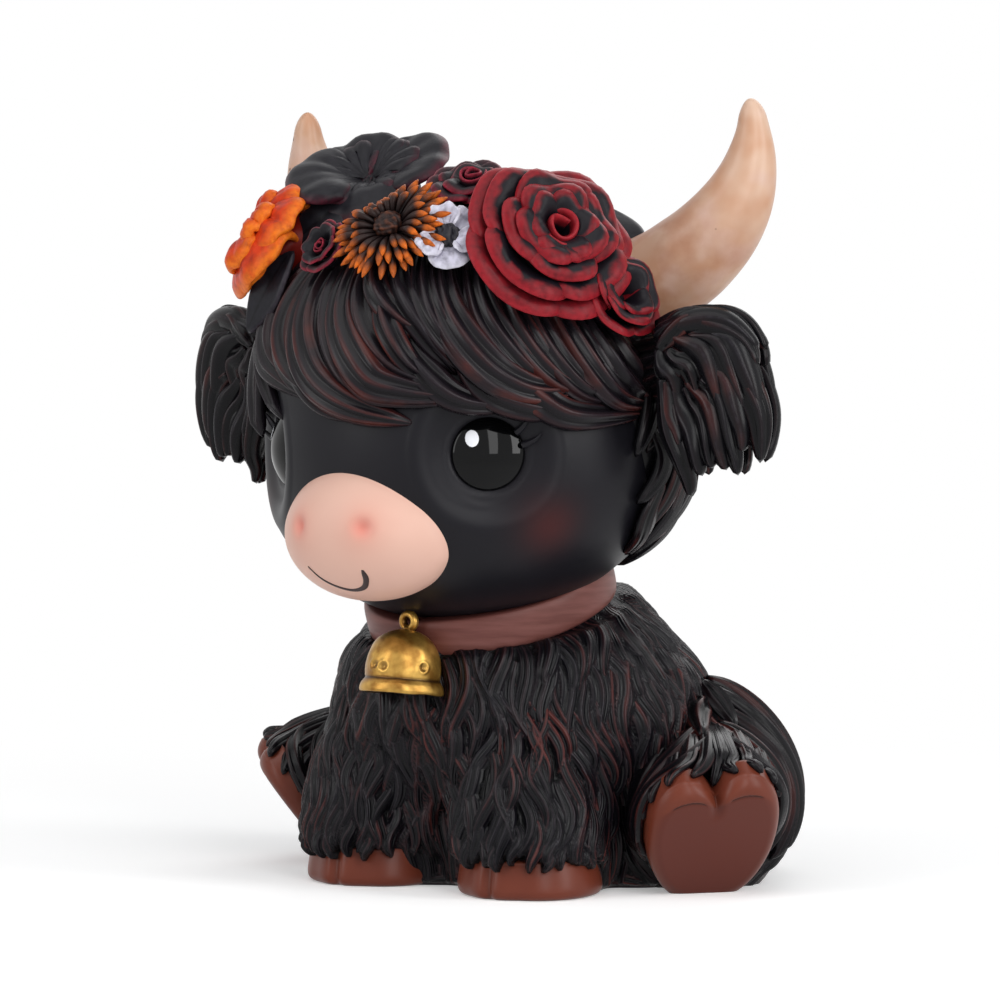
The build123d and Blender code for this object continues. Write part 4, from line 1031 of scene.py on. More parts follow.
def lock_shell(path, out, half, rise, grooves, tone, rows=34, columns=13, root=0.45, blunt=0.75):
    """One lock: across its path q runs from -1 to 1. Half width = half * (root + rise of s) * the fall
    toward its pointed tip. Height = crown of q, cut by cosine grooves that fade at root and tip."""
    s = np.linspace(0, 1, rows)
    path, out = through(path, s), unit(through(out, s))
    heading = unit(np.gradient(path, axis=0))
    side = unit(np.cross(heading, out))
    q = np.sin(np.linspace(-0.5, 0.5, columns) * math.pi)
    wide = half * (root + (1 - root) * ease(s, 0, 0.45)) * np.maximum(1 - s**3.2, 0) ** blunt + 0.02
    middle = path[:, None] + side[:, None] * (wide[:, None] * q)[..., None]
    crown = dome_of(q, 2.6)[None]
    ridge = 0.5 + 0.5 * np.cos(math.pi * grooves * q)[None] * np.ones((rows, 1))
    body = (0.55 + 0.45 * np.sin(math.pi * np.clip(s * 1.05, 0, 1)) ** 0.6)[:, None]
    thin = np.minimum(1, wide / (0.35 * half))[:, None]
    depth = 0.30 * rise * (1 - ridge) * ease(s, 0, 0.15)[:, None] * (1 - ease(s, 0.8, 1.0))[:, None]
    over = np.maximum((rise * body * crown - depth * (np.abs(q) < 0.93)) * thin, 0)
    under = 0.9 * crown * thin * np.ones((rows, 1))
    # The edges raise the crest: more dry-brushed red-brown and painted highlight, less painted shade.
    edge = ease(np.abs(q), 0.55, 0.9)[None] * (1 - ease(np.abs(q), 0.95, 1.0))[None]
    crest = np.clip(0.25 + 0.55 * ridge * crown + 0.35 * edge, 0, 1) * np.ones((rows, 1))
    normal = np.broadcast_to(out[:, None], middle.shape)
    marks = {
        "crest": crest, "tone": np.full((rows, columns), tone),
        "across": q * grooves * 1.5 * np.ones((rows, 1)),
    }
    return sheet_shell(middle, over, under, marks, normal)


# Body

# Rings of the body: share of the way from the neck plane to the floor, middle, radius and tilt
BODY_STOPS = np.array([0.0, 0.15, 0.32, 0.54, 0.78, 1.0])
BODY_MIDDLES = np.array([
    (0, -9.4, 55.3), (0, -2.49, 46.0), (0, 1.75, 37.05), (0, 2.99, 24.0), (0, 4.0, 11.06), (0, 4.0, 0.0),
])
BODY_RADII = np.array([22.0, 30.4, 35.4, 37.5, 36.8, 33.5])
BODY_TILTS = np.radians([18.0, 2.0, 0.0, 0.0, 0.0, 0.0])
POUR_HOLE = 1.7


def make_torso():
    """Rings from the neck plane down to the floor by a table of middles, radii and tilts, then the flat
    underside in to the pour hole and a little way up it. It is hollowed between the front legs and between
    them and the rear legs. Hair runs down from under the collar."""
    v = np.linspace(0, 1, 164)
    angle = crowded(550, -0.80, 0.45)
    middle = smooth_table(BODY_STOPS, BODY_MIDDLES, v)
    radius = smooth_table(BODY_STOPS, BODY_RADII, v)[:, None]
    tilt = smooth_table(BODY_STOPS, BODY_TILTS, v)[:, None]
    low = 1 - ease(middle[:, 2:], 14.0, 33.0)
    between = 9.0 * bell_curve(radius * np.cos(angle), 9.5) * (np.sin(angle) < 0)
    behind = 5.6 * bell_curve(np.abs(np.abs(angle + math.pi / 2) - math.radians(69)), math.radians(10))
    radius = radius - between * low - behind * low
    grid = middle[:, None] + np.stack(np.broadcast_arrays(
        radius * np.cos(angle), radius * np.sin(angle) * np.cos(tilt), radius * np.sin(angle) * np.sin(tilt)
    ), -1)
    normal = grid_normals(grid, True)
    cover = (v < 0.93)[:, None] * np.ones(len(angle))

    def flow(here):
        return here * [0.012, 0, 0] - UP

    height, marks = lay_hair(grid, normal, cover, flow, 21, 3.15, 21.0, 3.3, 2.6, 3, 26.0)
    start = 0.040 - 0.020 * np.sin(angle)
    fade = ease(v[:, None], start, start + 0.035) * (1 - ease(v, 0.965, 1.0))[:, None]
    tucked = 1 - ease(v[:, None], start - 0.005, start + 0.03)
    grid = grid + normal * ((height - 1.1) * fade - 1.7 * tucked)[..., None]
    grid[..., 2] = np.maximum(grid[..., 2], 0)
    hub = BODY_MIDDLES[-1] + polar(POUR_HOLE, angle, 0)
    under = hub + (grid[-1] - hub) * np.linspace(1, 0, 12)[1:, None, None]
    hole = hub + UP * np.array([1.5, 4.0, 8.0])[:, None, None]
    return tube_shell(np.concatenate([grid, under, hole]), longer(marks, len(under) + len(hole)))


make_piece("body_fur", make_torso(), FUR, "dark_fur", "torso")


# Rings of the left front leg: x, y, z and radius
FRONT_LEG_RINGS = np.array([
    (13.5, -16.6, 47.0, 6.5), (13.7, -16.8, 45.0, 7.95), (15.5, -18.6, 33.75, 11.08),
    (17.3, -20.4, 20.25, 13.77), (18.2, -21.3, 7.0, 14.2), (18.2, -21.3, 2.5, 14.0), (18.2, -21.3, 0.5, 13.6),
])
FRONT_HOOF = np.array([18.2, -21.3, 0])
FRONT_HOOF_RADIUS = 13.7
# Outline of the front hoof from the middle of its underside: share of its radius, and height
FRONT_HOOF_PROFILE = np.array([
    (0.04, 0.0), (0.5, 0.0), (0.84, 0.0), (0.92, 0.15), (0.97, 0.55), (0.995, 1.2), (1.0, 2.1), (0.99, 3.4),
    (0.97, 5.0), (0.94, 6.6), (0.90, 7.4), (0.6, 7.8), (0.05, 7.9),
])


def make_front_leg(side, seed):
    """Rings of a column that leans into the chest; below the hoof's top the skin sinks inside the hoof,
    so that only the tips of the locks lie over it."""
    heights = FRONT_LEG_RINGS[:, 2]
    stops = (heights[0] - heights) / (heights[0] - heights[-1])
    ring = smooth_table(stops, FRONT_LEG_RINGS, np.linspace(0, 1, 150))
    grid = (ring[:, :3] * [side, 1, 1])[:, None] + polar(ring[:, 3:], crowded(320, -math.pi / 2, 0.3), 0)
    normal = grid_normals(grid, True)
    low = grid[..., 2]

    def flow(here):
        return 0 * here + [0, -0.08, -1.0]

    height, marks = lay_hair(grid, normal, low > 11.0, flow, seed, 3.5, 20.0, 2.8, 2.0, 3, 28.0, 5.6)
    lift = height - 1.0 + 0.5 * (1 - ease(low, 5.0, 10.0))
    lift = np.where((low < 3.0) | (height < 0.25) & (low < 8.6), -3.5, lift)
    return tube_shell(grid + normal * lift[..., None], marks)


def make_front_hoof(side):
    """Low block on polar rings with rounded edges, cleft in front by a narrow valley."""
    angle = crowded(300, -math.pi / 2, 0.4)
    profile = through(FRONT_HOOF_PROFILE, np.linspace(0, 1, 90))
    share, height = profile[:, :1], profile[:, 1:]
    off = np.abs(angle + math.pi / 2) * FRONT_HOOF_RADIUS
    valley = 0.9 * bell_curve(off, 1.1) + 0.5 * bell_curve(off - 6.0, 3.0) + 0.11 * np.sin(angle * 5 + 1.0)
    radius = share * (FRONT_HOOF_RADIUS - valley * ease(share, 0.55, 0.95))
    # The crease mark carries painted shade into the cleft.
    crease = bell_curve(off, 0.5) * ease(share, 0.7, 0.97)
    return tube_shell(polar(radius, angle, height) + FRONT_HOOF * [side, 1, 1], {"crease": 0.3 * crease})


for side, word, seed in ((1, "left", 31), (-1, "right", 37)):
    make_piece(f"front_leg_fur_{word}", make_front_leg(side, seed), FUR, "dark_fur", f"front_leg_{word}")
    make_piece(f"cloven_hoof_{word}", make_front_hoof(side), HOOF, "hoof_brown", f"front_hoof_{word}")


# Rear legs

# The way the left sole faces: degrees to the left of straight ahead, degrees down, and roll
SPLAY, SOLE_TILT, SOLE_ROLL = 53.0, 37.0, 8.0
sole_x, sole_level = level_axes(SPLAY)
sole_out = swung(sole_level, -UP, SOLE_TILT)[0]
SOLE_AXES = np.array([*swung(sole_x, np.cross(sole_out, sole_x), SOLE_ROLL), sole_out])
# Origin of the sole at the floor, and how far up the sole the middle of its outline lies
SOLE_FOOT = np.array([45.5, -0.5, 0.0])
SOLE_MIDDLE = 13.75
# The heart-shaped outline of the sole from its foot up to the notch, x and y in the sole's own axes
SOLE_KNOTS = np.array([
    (0, -3.7), (5.4, -2.4), (9.2, 1.6), (11.9, 8.2), (12.8, 15.2), (12.1, 21.2), (9.6, 25.6), (6.3, 27.4),
    (3.2, 26.6), (1.1, 24.4), (0, 22.7),
])


def sole_outline(angle):
    """Reach of the heart-shaped outline from its middle at each angle, the same on both sides."""
    right = through(SOLE_KNOTS, np.linspace(0, 1, 200)) - [0, SOLE_MIDDLE]
    turns = np.arctan2(right[:, 1], right[:, 0])
    order = np.argsort(turns)
    reach = np.hypot(right[:, 0], right[:, 1])
    return np.interp(np.arctan2(np.sin(angle), np.abs(np.cos(angle))), turns[order], reach[order])


def make_rear_hoof():
    """Rings from the middle of the sole out: a flat face, a rounded edge and the wall behind it. The two
    lobes roll back above a thin curved crease."""
    angle = around(360, -math.pi)
    edge = np.linspace(0.8, 1.0, 26)[1:]
    share = np.concatenate([np.linspace(0.02, 0.8, 44), edge, np.full(8, 1.0)])
    fall = 2.6 * (dome_of((edge - 0.8) / 0.2) - 1)
    depth = np.concatenate([np.zeros(44), fall, np.linspace(-2.9, -6.5, 8)])
    x, y, z = np.moveaxis(polar(share[:, None] * sole_outline(angle), angle, depth[:, None]), -1, 0)
    y = y + SOLE_MIDDLE
    face = (share < 1)[:, None]
    line = y - (24.1 - 0.09 * (np.abs(x) - 5.4) ** 2)
    groove = bell_curve(line, 0.20) * ease(np.abs(x), 2.0, 3.0) * (1 - ease(np.abs(x), 8.0, 9.2)) * face
    notch = bell_curve(x, 1.0) * ease(y, 18.5, 22.5) * face
    z = z - 0.30 * groove - 0.9 * ease(line, 0.1, 5.0) * face - 0.8 * notch
    grid = SOLE_FOOT + np.stack([x, y, z], -1) @ SOLE_AXES
    grid[..., 2] = np.maximum(grid[..., 2], 0)
    # Painted shade: the sole mark darkens the flat face, the crease mark the groove and the notch.
    sole = (1 - ease(line, -0.3, 0.5)) * (1 - ease(share, 0.84, 0.97))[:, None]
    return tube_shell(grid, {"crease": np.clip(0.9 * groove + 0.3 * notch, 0, 1), "sole": sole})


# Shares of the way along the rear leg where its rings are set
LEG_STOPS = np.array([0.0, 0.42, 0.72, 0.9])


def leg_rings():
    """Middles, headings and radii of the left rear leg from the hip to the ankle, at LEG_STOPS."""
    ankle = SOLE_FOOT + np.array([0, SOLE_MIDDLE, -6.0]) @ SOLE_AXES
    middles = np.array([(15, 16, 18.5), (33, 12, 18.5), (42, 5.5, 15), ankle])
    headings = unit(np.array([(18, -4, 0), (27, -10.5, 0), (9, -6.5, 0), sole_out]))
    return middles, headings, np.array([14.0, 20.0, 15.5, 13.0])


# Broad locks that fall from the top of the leg round the sole: spots of share along the leg and degrees
# round it (90 is the top), half width and height in mm
REAR_LEG_LOCKS = (
    (((0.30, 76), (0.38, 50), (0.44, 24), (0.46, 0), (0.45, -26)), 2.9, 2.2),
    (((0.40, 80), (0.50, 52), (0.56, 24), (0.58, -4), (0.56, -30)), 2.9, 2.3),
    (((0.50, 82), (0.60, 54), (0.66, 24), (0.68, -6), (0.66, -34)), 2.8, 2.3),
    (((0.60, 84), (0.70, 54), (0.76, 22), (0.77, -10), (0.75, -40)), 2.7, 2.2),
    (((0.70, 86), (0.80, 56), (0.845, 22), (0.85, -12), (0.83, -44)), 2.4, 2.0),
    (((0.78, 88), (0.86, 60), (0.905, 26), (0.91, -10), (0.89, -42)), 2.1, 1.8),
    (((0.36, 100), (0.46, 128), (0.52, 156), (0.54, 184), (0.52, 210)), 2.8, 2.2),
    (((0.48, 100), (0.58, 126), (0.64, 156), (0.66, 186), (0.64, 212)), 2.8, 2.2),
    (((0.60, 98), (0.70, 126), (0.76, 158), (0.77, 190), (0.75, 218)), 2.6, 2.1),
    (((0.70, 96), (0.80, 124), (0.845, 158), (0.85, 192), (0.83, 222)), 2.3, 1.9),
    (((0.78, 93), (0.86, 120), (0.905, 152), (0.91, 188), (0.89, 220)), 2.0, 1.7),
    (((0.74, 50), (0.85, 38), (0.945, 22)), 1.8, 1.1), (((0.74, 134), (0.85, 146), (0.945, 162)), 1.7, 1.1),
    (((0.72, 62), (0.84, 52), (0.955, 38)), 1.9, 1.2), (((0.72, 120), (0.84, 130), (0.955, 144)), 1.9, 1.2),
    (((0.70, 76), (0.84, 68), (0.96, 55)), 2.0, 1.2), (((0.70, 106), (0.84, 114), (0.96, 126)), 2.0, 1.2),
    (((0.70, 88), (0.84, 84), (0.955, 72)), 1.9, 1.2), (((0.70, 95), (0.83, 98), (0.95, 108)), 1.9, 1.2),
    (((0.72, 92), (0.84, 91), (0.93, 90)), 1.7, 1.3),
    (((0.84, 10), (0.90, -4), (0.945, -22)), 1.4, 0.9), (((0.84, 170), (0.90, 184), (0.945, 202)), 1.4, 0.9),
    (((0.56, 92), (0.66, 99), (0.78, 101)), 3.0, 3.2), (((0.46, 88), (0.58, 82), (0.72, 74)), 2.6, 2.4),
    (((0.50, 108), (0.62, 116), (0.74, 118)), 2.4, 2.2),
)


def make_rear_leg(side, seed):
    """Round rings along the leg that turn into the sole's outline near the hoof, flat on the floor. The
    skin sinks inside the hoof at its end, and the tips of the locks lie over the hoof's wall."""
    v = np.linspace(0, 1, 120)
    inner = np.minimum(v, LEG_STOPS[-1])
    middle, heading, radius = (smooth_table(LEG_STOPS, table, inner) for table in leg_rings())
    past = ease(v, 0.86, 0.94)[:, None]
    middle = middle + sole_out * (np.maximum(v - LEG_STOPS[-1], 0) * 50.0)[:, None]
    heading = unit(heading)
    across = unit(unit(np.cross(UP, heading)) * (1 - past) + SOLE_AXES[0] * past)
    angle = around(330, -math.pi)
    shape = radius[:, None] * (1 - past) + (sole_outline(angle) + 0.4) * past
    grid = rings(middle, across, unit(np.cross(heading, across)), shape, angle)
    normal = grid_normals(grid, True)
    cover = (v < 0.66)[:, None] & (grid[..., 2] > 3.0)

    def flow(here):
        return sole_out * (0.35 + 1.1 * ease(here[:, 2:], 16.0, 32.0)) - UP

    height, marks = lay_hair(grid, normal, cover, flow, seed, 4.6, 26.0, 3.6, 2.2, 3, 20.0)
    sink = 1.0 + 0.5 * ease(v, 0.60, 0.72) + 2.2 * ease(v, 0.90, 0.96)
    locks = []
    rng = np.random.default_rng(seed)
    s = np.linspace(0, 1, 14)
    for spots, half, rise in REAR_LEG_LOCKS:
        place = through(spots, s)
        i, j = place[:, 0] * (len(v) - 1), (np.radians(place[:, 1]) + math.pi) / (2 * math.pi) * len(angle)
        out = unit(sample(normal, i, j))
        path = sample(grid, i, j) + out * (0.2 + 0.5 * np.sin(math.pi * s))[:, None]
        lock = lock_shell(path, out, half, rise, 2 + len(locks) % 2, rng.uniform(), 34, 15, 0.5, 0.6)
        lock["points"][:, 2] = np.maximum(lock["points"][:, 2], 0.02)
        locks.append(lock)
    grid = grid + normal * (height - sink[:, None])[..., None]
    grid[..., 2] = np.maximum(grid[..., 2], 0)
    shell = joined([tube_shell(grid, marks)] + locks)
    return shell if side > 0 else reflected(shell)


# Control points of the tail's middle line, and the radius of its tuft
TAIL_LINE = ((1.875, 39, 7.875), (31.5, 42, 7.875), (45, 21, 29.25))
TAIL_RADIUS = 5.0


def make_tail():
    """Tube along a quadratic curve round the hip, thick at its tuft, with locks along it to a point."""
    t = np.linspace(0, 1, 90)
    path = bezier(TAIL_LINE, t)
    radius = TAIL_RADIUS * smooth_table([0, 0.35, 0.6, 0.78, 0.92, 1], [0.75, 0.62, 0.85, 1.0, 0.62, 0.12], t)
    angle = around(120)
    grid = rings(path, *path_frames(path), radius[:, None], angle)
    twist = angle[None] * 5 + t[:, None] * 12
    grooves = 0.5 + 0.5 * np.cos(twist + 0.7 * np.sin(t[:, None] * 17))
    size = ease(radius, 1.0, 3.5)[:, None]
    grid = grid + grid_normals(grid, True) * (0.7 * (grooves - 0.5) * size)[..., None]
    return tube_shell(grid, {"crest": 0.2 + 0.8 * grooves, "tone": 0.6 + 0 * grooves, "across": twist * 0.5})


make_pair("heart_sole", make_rear_hoof(), HOOF, "hoof_brown", "rear_hoof")
for side, word, seed in ((1, "left", 41), (-1, "right", 43)):
    make_piece(f"rear_leg_fur_{word}", make_rear_leg(side, seed), LOCK_PAINT, "dark_fur", f"rear_leg_{word}")
make_piece("tail_tuft", make_tail(), LOCK_PAINT, "dark_fur", "tail")


# Locks as bodies of their own, for the head and the ears

def head_lock(spots, half, rise, grooves, tone, low, high, tip, rows, columns=13):
    """A lock over the head through spots of turn and climb; its height above the skin goes from `low` at
    the root through `high` to `tip`."""
    s = np.linspace(0, 1, 12)
    proud = smooth_table([0, 0.45, 1], [low, high, tip], s)
    base, out = on_head(through(ray(*np.array(spots, float).T), s), 0.0)
    path = base + out * (proud - rise * 0.6)[:, None]
    return lock_shell(path, out, half, rise, grooves, tone, rows, columns)


# Turn and climb along each lock of the fringe, half width, grooves, height above the skin, paint tone
FRINGE_LOCKS = (
    (((-34, 58), (-47, 33), (-40, 22), (-24, 9)), 2.3, 2, 2.6, 0.2),
    (((-30, 58), (-44, 38), (-34, 24), (-12, 15)), 3.4, 3, 3.4, 0.5),
    (((-27, 60), (-30, 36), (-20, 22), (-3, 13)), 2.6, 2, 3.0, 0.8),
    (((-20, 60), (-18, 36), (-8, 21), (5, 13), (22, 9)), 3.6, 3, 3.6, 0.9),
    (((-12, 60), (-8, 36), (2, 20), (16, 12)), 2.8, 2, 3.0, 0.4),
    (((-6, 60), (-2, 36), (9, 21), (18, 17), (36, 15)), 3.7, 3, 4.2, 0.95),
    (((2, 60), (3, 38), (14, 24), (30, 17)), 2.9, 2, 3.4, 0.5),
    (((0, 58), (8, 42), (18, 33), (29, 30)), 2.3, 2, 5.0, 0.9),
    (((8, 46), (13, 34), (20, 24), (27, 19)), 2.2, 2, 4.8, 0.85),
    (((10, 58), (15, 42), (24, 31), (33, 21)), 2.6, 2, 4.6, 0.35),
    (((18, 60), (23, 40), (31, 28), (43, 19)), 3.0, 3, 4.2, 0.6),
    (((24, 60), (29, 38), (40, 23), (53, 17), (69, 19)), 3.7, 3, 4.8, 0.95),
    (((34, 60), (40, 36), (50, 23), (61, 19)), 3.0, 3, 4.6, 0.6),
    (((42, 60), (48, 34), (58, 21), (73, 17)), 3.2, 3, 4.2, 0.75),
    (((48, 58), (54, 32), (64, 19), (79, 14)), 3.0, 3, 4.0, 0.5),
    (((58, 56), (64, 32), (75, 17), (93, 13)), 3.3, 3, 4.2, 0.8),
    (((44, 26), (52, 17), (64, 11), (92, 11)), 2.8, 2, 2.8, 0.95),
    (((66, 52), (71, 30), (81, 18), (94, 15)), 2.8, 2, 4.4, 0.4),
    (((73, 48), (79, 28), (88, 18), (99, 14)), 2.6, 2, 4.2, 0.6),
    (((-38, 56), (-54, 34), (-56, 18), (-50, 4)), 2.8, 2, 3.0, 0.3),
    (((-44, 54), (-62, 34), (-68, 20), (-68, 6)), 3.0, 3, 3.4, 0.6),
    (((-50, 52), (-72, 34), (-82, 20), (-86, 8)), 3.0, 3, 3.4, 0.4),
    (((-58, 50), (-80, 36), (-94, 24), (-100, 12)), 2.8, 2, 3.6, 0.5),
    (((14, 34), (24, 22), (34, 15), (48, 13)), 2.6, 2, 2.4, 0.3),
    (((-24, 40), (-16, 24), (-4, 14), (10, 10)), 2.6, 2, 2.4, 0.3),
    (((30, 30), (40, 18), (52, 13), (66, 13)), 2.6, 2, 2.4, 0.4),
)


def make_fringe():
    """The listed locks over a second thinner row that fills the gaps between their roots."""
    locks = []
    for spots, half, grooves, high, tone in FRINGE_LOCKS:
        locks.append(head_lock(spots, half * 1.3, 3.3, grooves, tone, 2.6, high + 0.4, 1.6, 36, 21))
    for k in range(17):
        turn = -60 + 9.5 * k
        low = ((turn + 4, 27 + 3 * (k % 2)), (turn + 12, 22 + 3 * (k % 3)))
        spots = ((turn * 0.7, 60), (turn - 2, 40), *low)
        locks.append(head_lock(spots, 3.4, 1.5, 3, 0.3 + 0.1 * (k % 4), 1.8, 2.3, 1.2, 30))
    return joined(locks)


make_piece("fringe_locks", make_fringe(), FRINGE_PAINT, "dark_fur", "fringe")


# The hair's lower edge from the side, from the front to the back of the head, in shares of the girth
HAIR_LINE = (
    (-0.6, 0.5), (-0.14, 0.25), (-0.02, -0.1), (0.08, -0.34), (0.2, -0.44), (0.4, -0.55), (0.7, -0.58),
    (1.3, -0.5),
)
# Rows of locks on the back of the head, lowest first: climb of their roots, count, shift in steps
BACK_HAIR_ROWS = ((-2, 22, 0.0), (12, 25, 0.5), (27, 25, 0.0), (42, 22, 0.5), (56, 18, 0.0), (70, 12, 0.5))
CROWN_LOCKS = 17


def hair_line(y):
    """Height of the hair's lower edge above the head's middle at y."""
    return GIRTH * np.interp((y - HEAD[1]) / GIRTH, *zip(*HAIR_LINE))


def make_back_hair():
    """A thin cap of hair that dips under the skin outside the hair's edge. Over it rows of locks run down
    from the crown with an S-shaped swing, and two rows of flatter locks close the crown."""
    skin, out = head_grid(around(150, -math.pi), np.radians(np.linspace(-60, 88, 90)))
    above = skin[..., 2] - HEAD[2] - hair_line(skin[..., 1])
    cap = skin + out * np.clip((above - 4.0) * 0.4, -8.0, 1.9)[..., None]
    shells = [tube_shell(cap, plain_hair(cap))]
    rng = np.random.default_rng(5)
    for climb, count, shift in BACK_HAIR_ROWS:
        high, tip = (3.4, 1.9) if climb > 5 else (2.6, 0.9)
        for k in range(count):
            turn = 78 + 204 * (k + shift) / (count - 0.5)
            jitter = rng.uniform(-1, 1, 4)
            top, drop = climb + 5 * jitter[0], 30 + 5 * jitter[1]
            swing = 5.5 * (1 + 0.4 * jitter[2]) * (1 if (k + climb) % 3 else -1)
            end = on_head(ray(turn, top - drop), 0)[0]
            floor = hair_line(end[1]) + HEAD[2]
            if end[2] < floor - 1:
                drop = drop - (floor - 1 - end[2]) * 1.3
            if drop < 12:
                continue
            spots = (
                (turn, min(top, 82)), (turn + swing * 0.7, top - drop * 0.35),
                (turn + swing * 0.2, top - drop * 0.7), (turn - swing * 0.6 + 2 * jitter[3], top - drop),
            )
            half = 3.1 * (0.85 + 0.3 * rng.uniform())
            shells.append(head_lock(spots, half, 1.6, 2 + k % 2, rng.uniform(), 2.2, high, tip, 24, 11))
    for k in range(2 * CROWN_LOCKS):
        row = k // CROWN_LOCKS
        turn, top = 360 / CROWN_LOCKS * k + 10 * row, 86 - 12 * row
        spots = ((turn, top), (turn + 9, top - 8), (turn - 3, top - 17), (turn + 5, top - 27))
        shells.append(head_lock(spots, 2.9, 1.5, 2 + k % 2, 0.1 + 0.2 * (k % 4), 2.0, 2.8, 1.8, 22, 11))
    return joined(shells)


make_piece("back_hair_locks", make_back_hair(), LOCK_PAINT, "dark_fur", "back_hair")


# Ears

# Middle of the left ear and its size, then its axes and where its root meets it
EAR_SPOT = np.array([56.3, -15.0, 96.0])
EAR_WIDTH, EAR_HEIGHT, EAR_THICK = 22.6, 33.5, 12.0
ear_x, ear_out = level_axes(20.0)
EAR_AXES = np.array([*swung(ear_x, UP, 9.0), ear_out])
EAR_MOUTH = EAR_SPOT + np.array([-EAR_WIDTH / 4, EAR_HEIGHT / 5, 0]) @ EAR_AXES


def ear_bulge(x, y, front):
    """Height of the ear's cushion over its middle plane at shares x, y of its width and height."""
    hollow = 2.8 * bell_curve(np.hypot(x + 0.20, y + 0.06), 0.16) if front else 0
    return EAR_THICK * 0.43 * dome_of(np.hypot(x, y) / 0.58) - hollow


# Each ear lock: start, control and end in shares of the ear's width and height, and its half width in mm
EAR_LOCKS = (
    ((-0.46, 0.16), (-0.50, 0.00), (-0.43, -0.32), 2.0),
    ((-0.42, 0.14), (-0.42, -0.14), (-0.35, -0.55), 2.2),
    ((-0.36, 0.12), (-0.28, -0.12), (-0.22, -0.48), 2.3),
    ((-0.28, 0.10), (-0.12, -0.10), (-0.11, -0.50), 2.2),
    ((-0.18, 0.12), (0.04, -0.06), (0.01, -0.44), 2.4), ((-0.06, 0.14), (0.18, -0.04), (0.10, -0.54), 2.3),
    ((0.04, 0.20), (0.34, 0.02), (0.21, -0.44), 2.6), ((0.12, 0.26), (0.48, 0.08), (0.31, -0.42), 2.6),
    ((-0.46, 0.34), (-0.36, 0.22), (-0.32, 0.04), 2.2), ((-0.40, 0.37), (-0.14, 0.26), (-0.13, 0.03), 2.4),
    ((-0.28, 0.40), (0.10, 0.30), (0.08, -0.08), 2.6), ((-0.12, 0.42), (0.32, 0.36), (0.27, -0.14), 2.8),
    ((0.02, 0.44), (0.54, 0.38), (0.42, -0.25), 2.8), ((-0.40, 0.44), (0.26, 0.54), (0.42, 0.12), 2.7),
    ((-0.48, 0.42), (0.06, 0.66), (0.52, 0.26), 2.6), ((-0.50, 0.38), (-0.26, 0.62), (0.14, 0.56), 2.3),
)


def make_ear(side, seed):
    """A cushion sunk inside the ear, a short root to the head, and over both faces locks that start near
    the root, arch over the top and down, and end in pointed tips round the outline. The lower locks come
    first, so the later ones lie higher; those round the middle leave a hollow."""
    face = np.linspace(-1, 1, 41)[1:-1, None]
    grid = polar(dome_of(face), around(120, -math.pi), face) * [0.34 * EAR_WIDTH, 0.34 * EAR_HEIGHT, 3.4]
    # Crest 0.1 gives the sunk cushion wholly the fur paint's painted shade.
    shells = [tube_shell(grid, plain_hair(grid, 0.1))]
    rng = np.random.default_rng(seed)
    s = np.linspace(0, 1, 11)
    size = np.array([EAR_WIDTH, EAR_HEIGHT])
    for sign in (1, -1):
        for k, (start, control, end, half) in enumerate(EAR_LOCKS):
            scale = 0.85 + 0.09 * ((k * 5) % 3 - 1)
            flat = scale * bezier((start, control, end), s) + 0.012 * np.sin(s * 9 + k)[:, None] - [0, 0.05]
            lifted = (1.6 * k / len(EAR_LOCKS) - 0.9) * np.sin(math.pi * s) ** 0.7
            bulge = np.maximum(ear_bulge(flat[:, 0], flat[:, 1], sign > 0) + lifted, 0.2)
            path = np.concatenate([flat * size, sign * bulge[:, None]], -1)
            out = unit(np.concatenate([flat * EAR_THICK / size * 3, np.full((11, 1), 1.6 * sign)], -1))
            shells.append(lock_shell(path, out, half * 1.2, 2.8, 1 + k % 2, rng.uniform(), 30, 17, 0.55, 0.5))
    ear = placed(joined(shells), EAR_SPOT, EAR_AXES)
    seat = on_head(ray(106.0, 24.0), -3.0)[0]
    t = np.linspace(0, 1, 24)[:, None]
    stalk = taper_tube(seat + (EAR_MOUTH - seat) * t, 6.8 - 2.2 * t[:, 0], 40, (0, -1, 0.1))
    stalk["marks"] = plain_hair(stalk["points"])
    axis = unit(EAR_MOUTH - seat)
    first = unit(np.cross(axis, UP))
    second = np.cross(axis, first)
    locks = []
    for k in range(11):
        out = swung(first, second, 360 * k / 11)[0] * np.ones((24, 1))
        path = seat + (EAR_MOUTH - seat) * (0.1 + 1.05 * t) + out * (6.3 - 1.6 * t)
        locks.append(lock_shell(path, out, 2.6, 1.8, 2, rng.uniform(), 26, 15, 0.7, 0.5))
    whole = joined([ear, stalk] + locks)
    return whole if side > 0 else reflected(whole)


for side, word, seed in ((1, "left", 51), (-1, "right", 53)):
    make_piece(f"shaggy_ear_{word}", make_ear(side, seed), LOCK_PAINT, "dark_fur", f"ear_{word}")


# Flowers

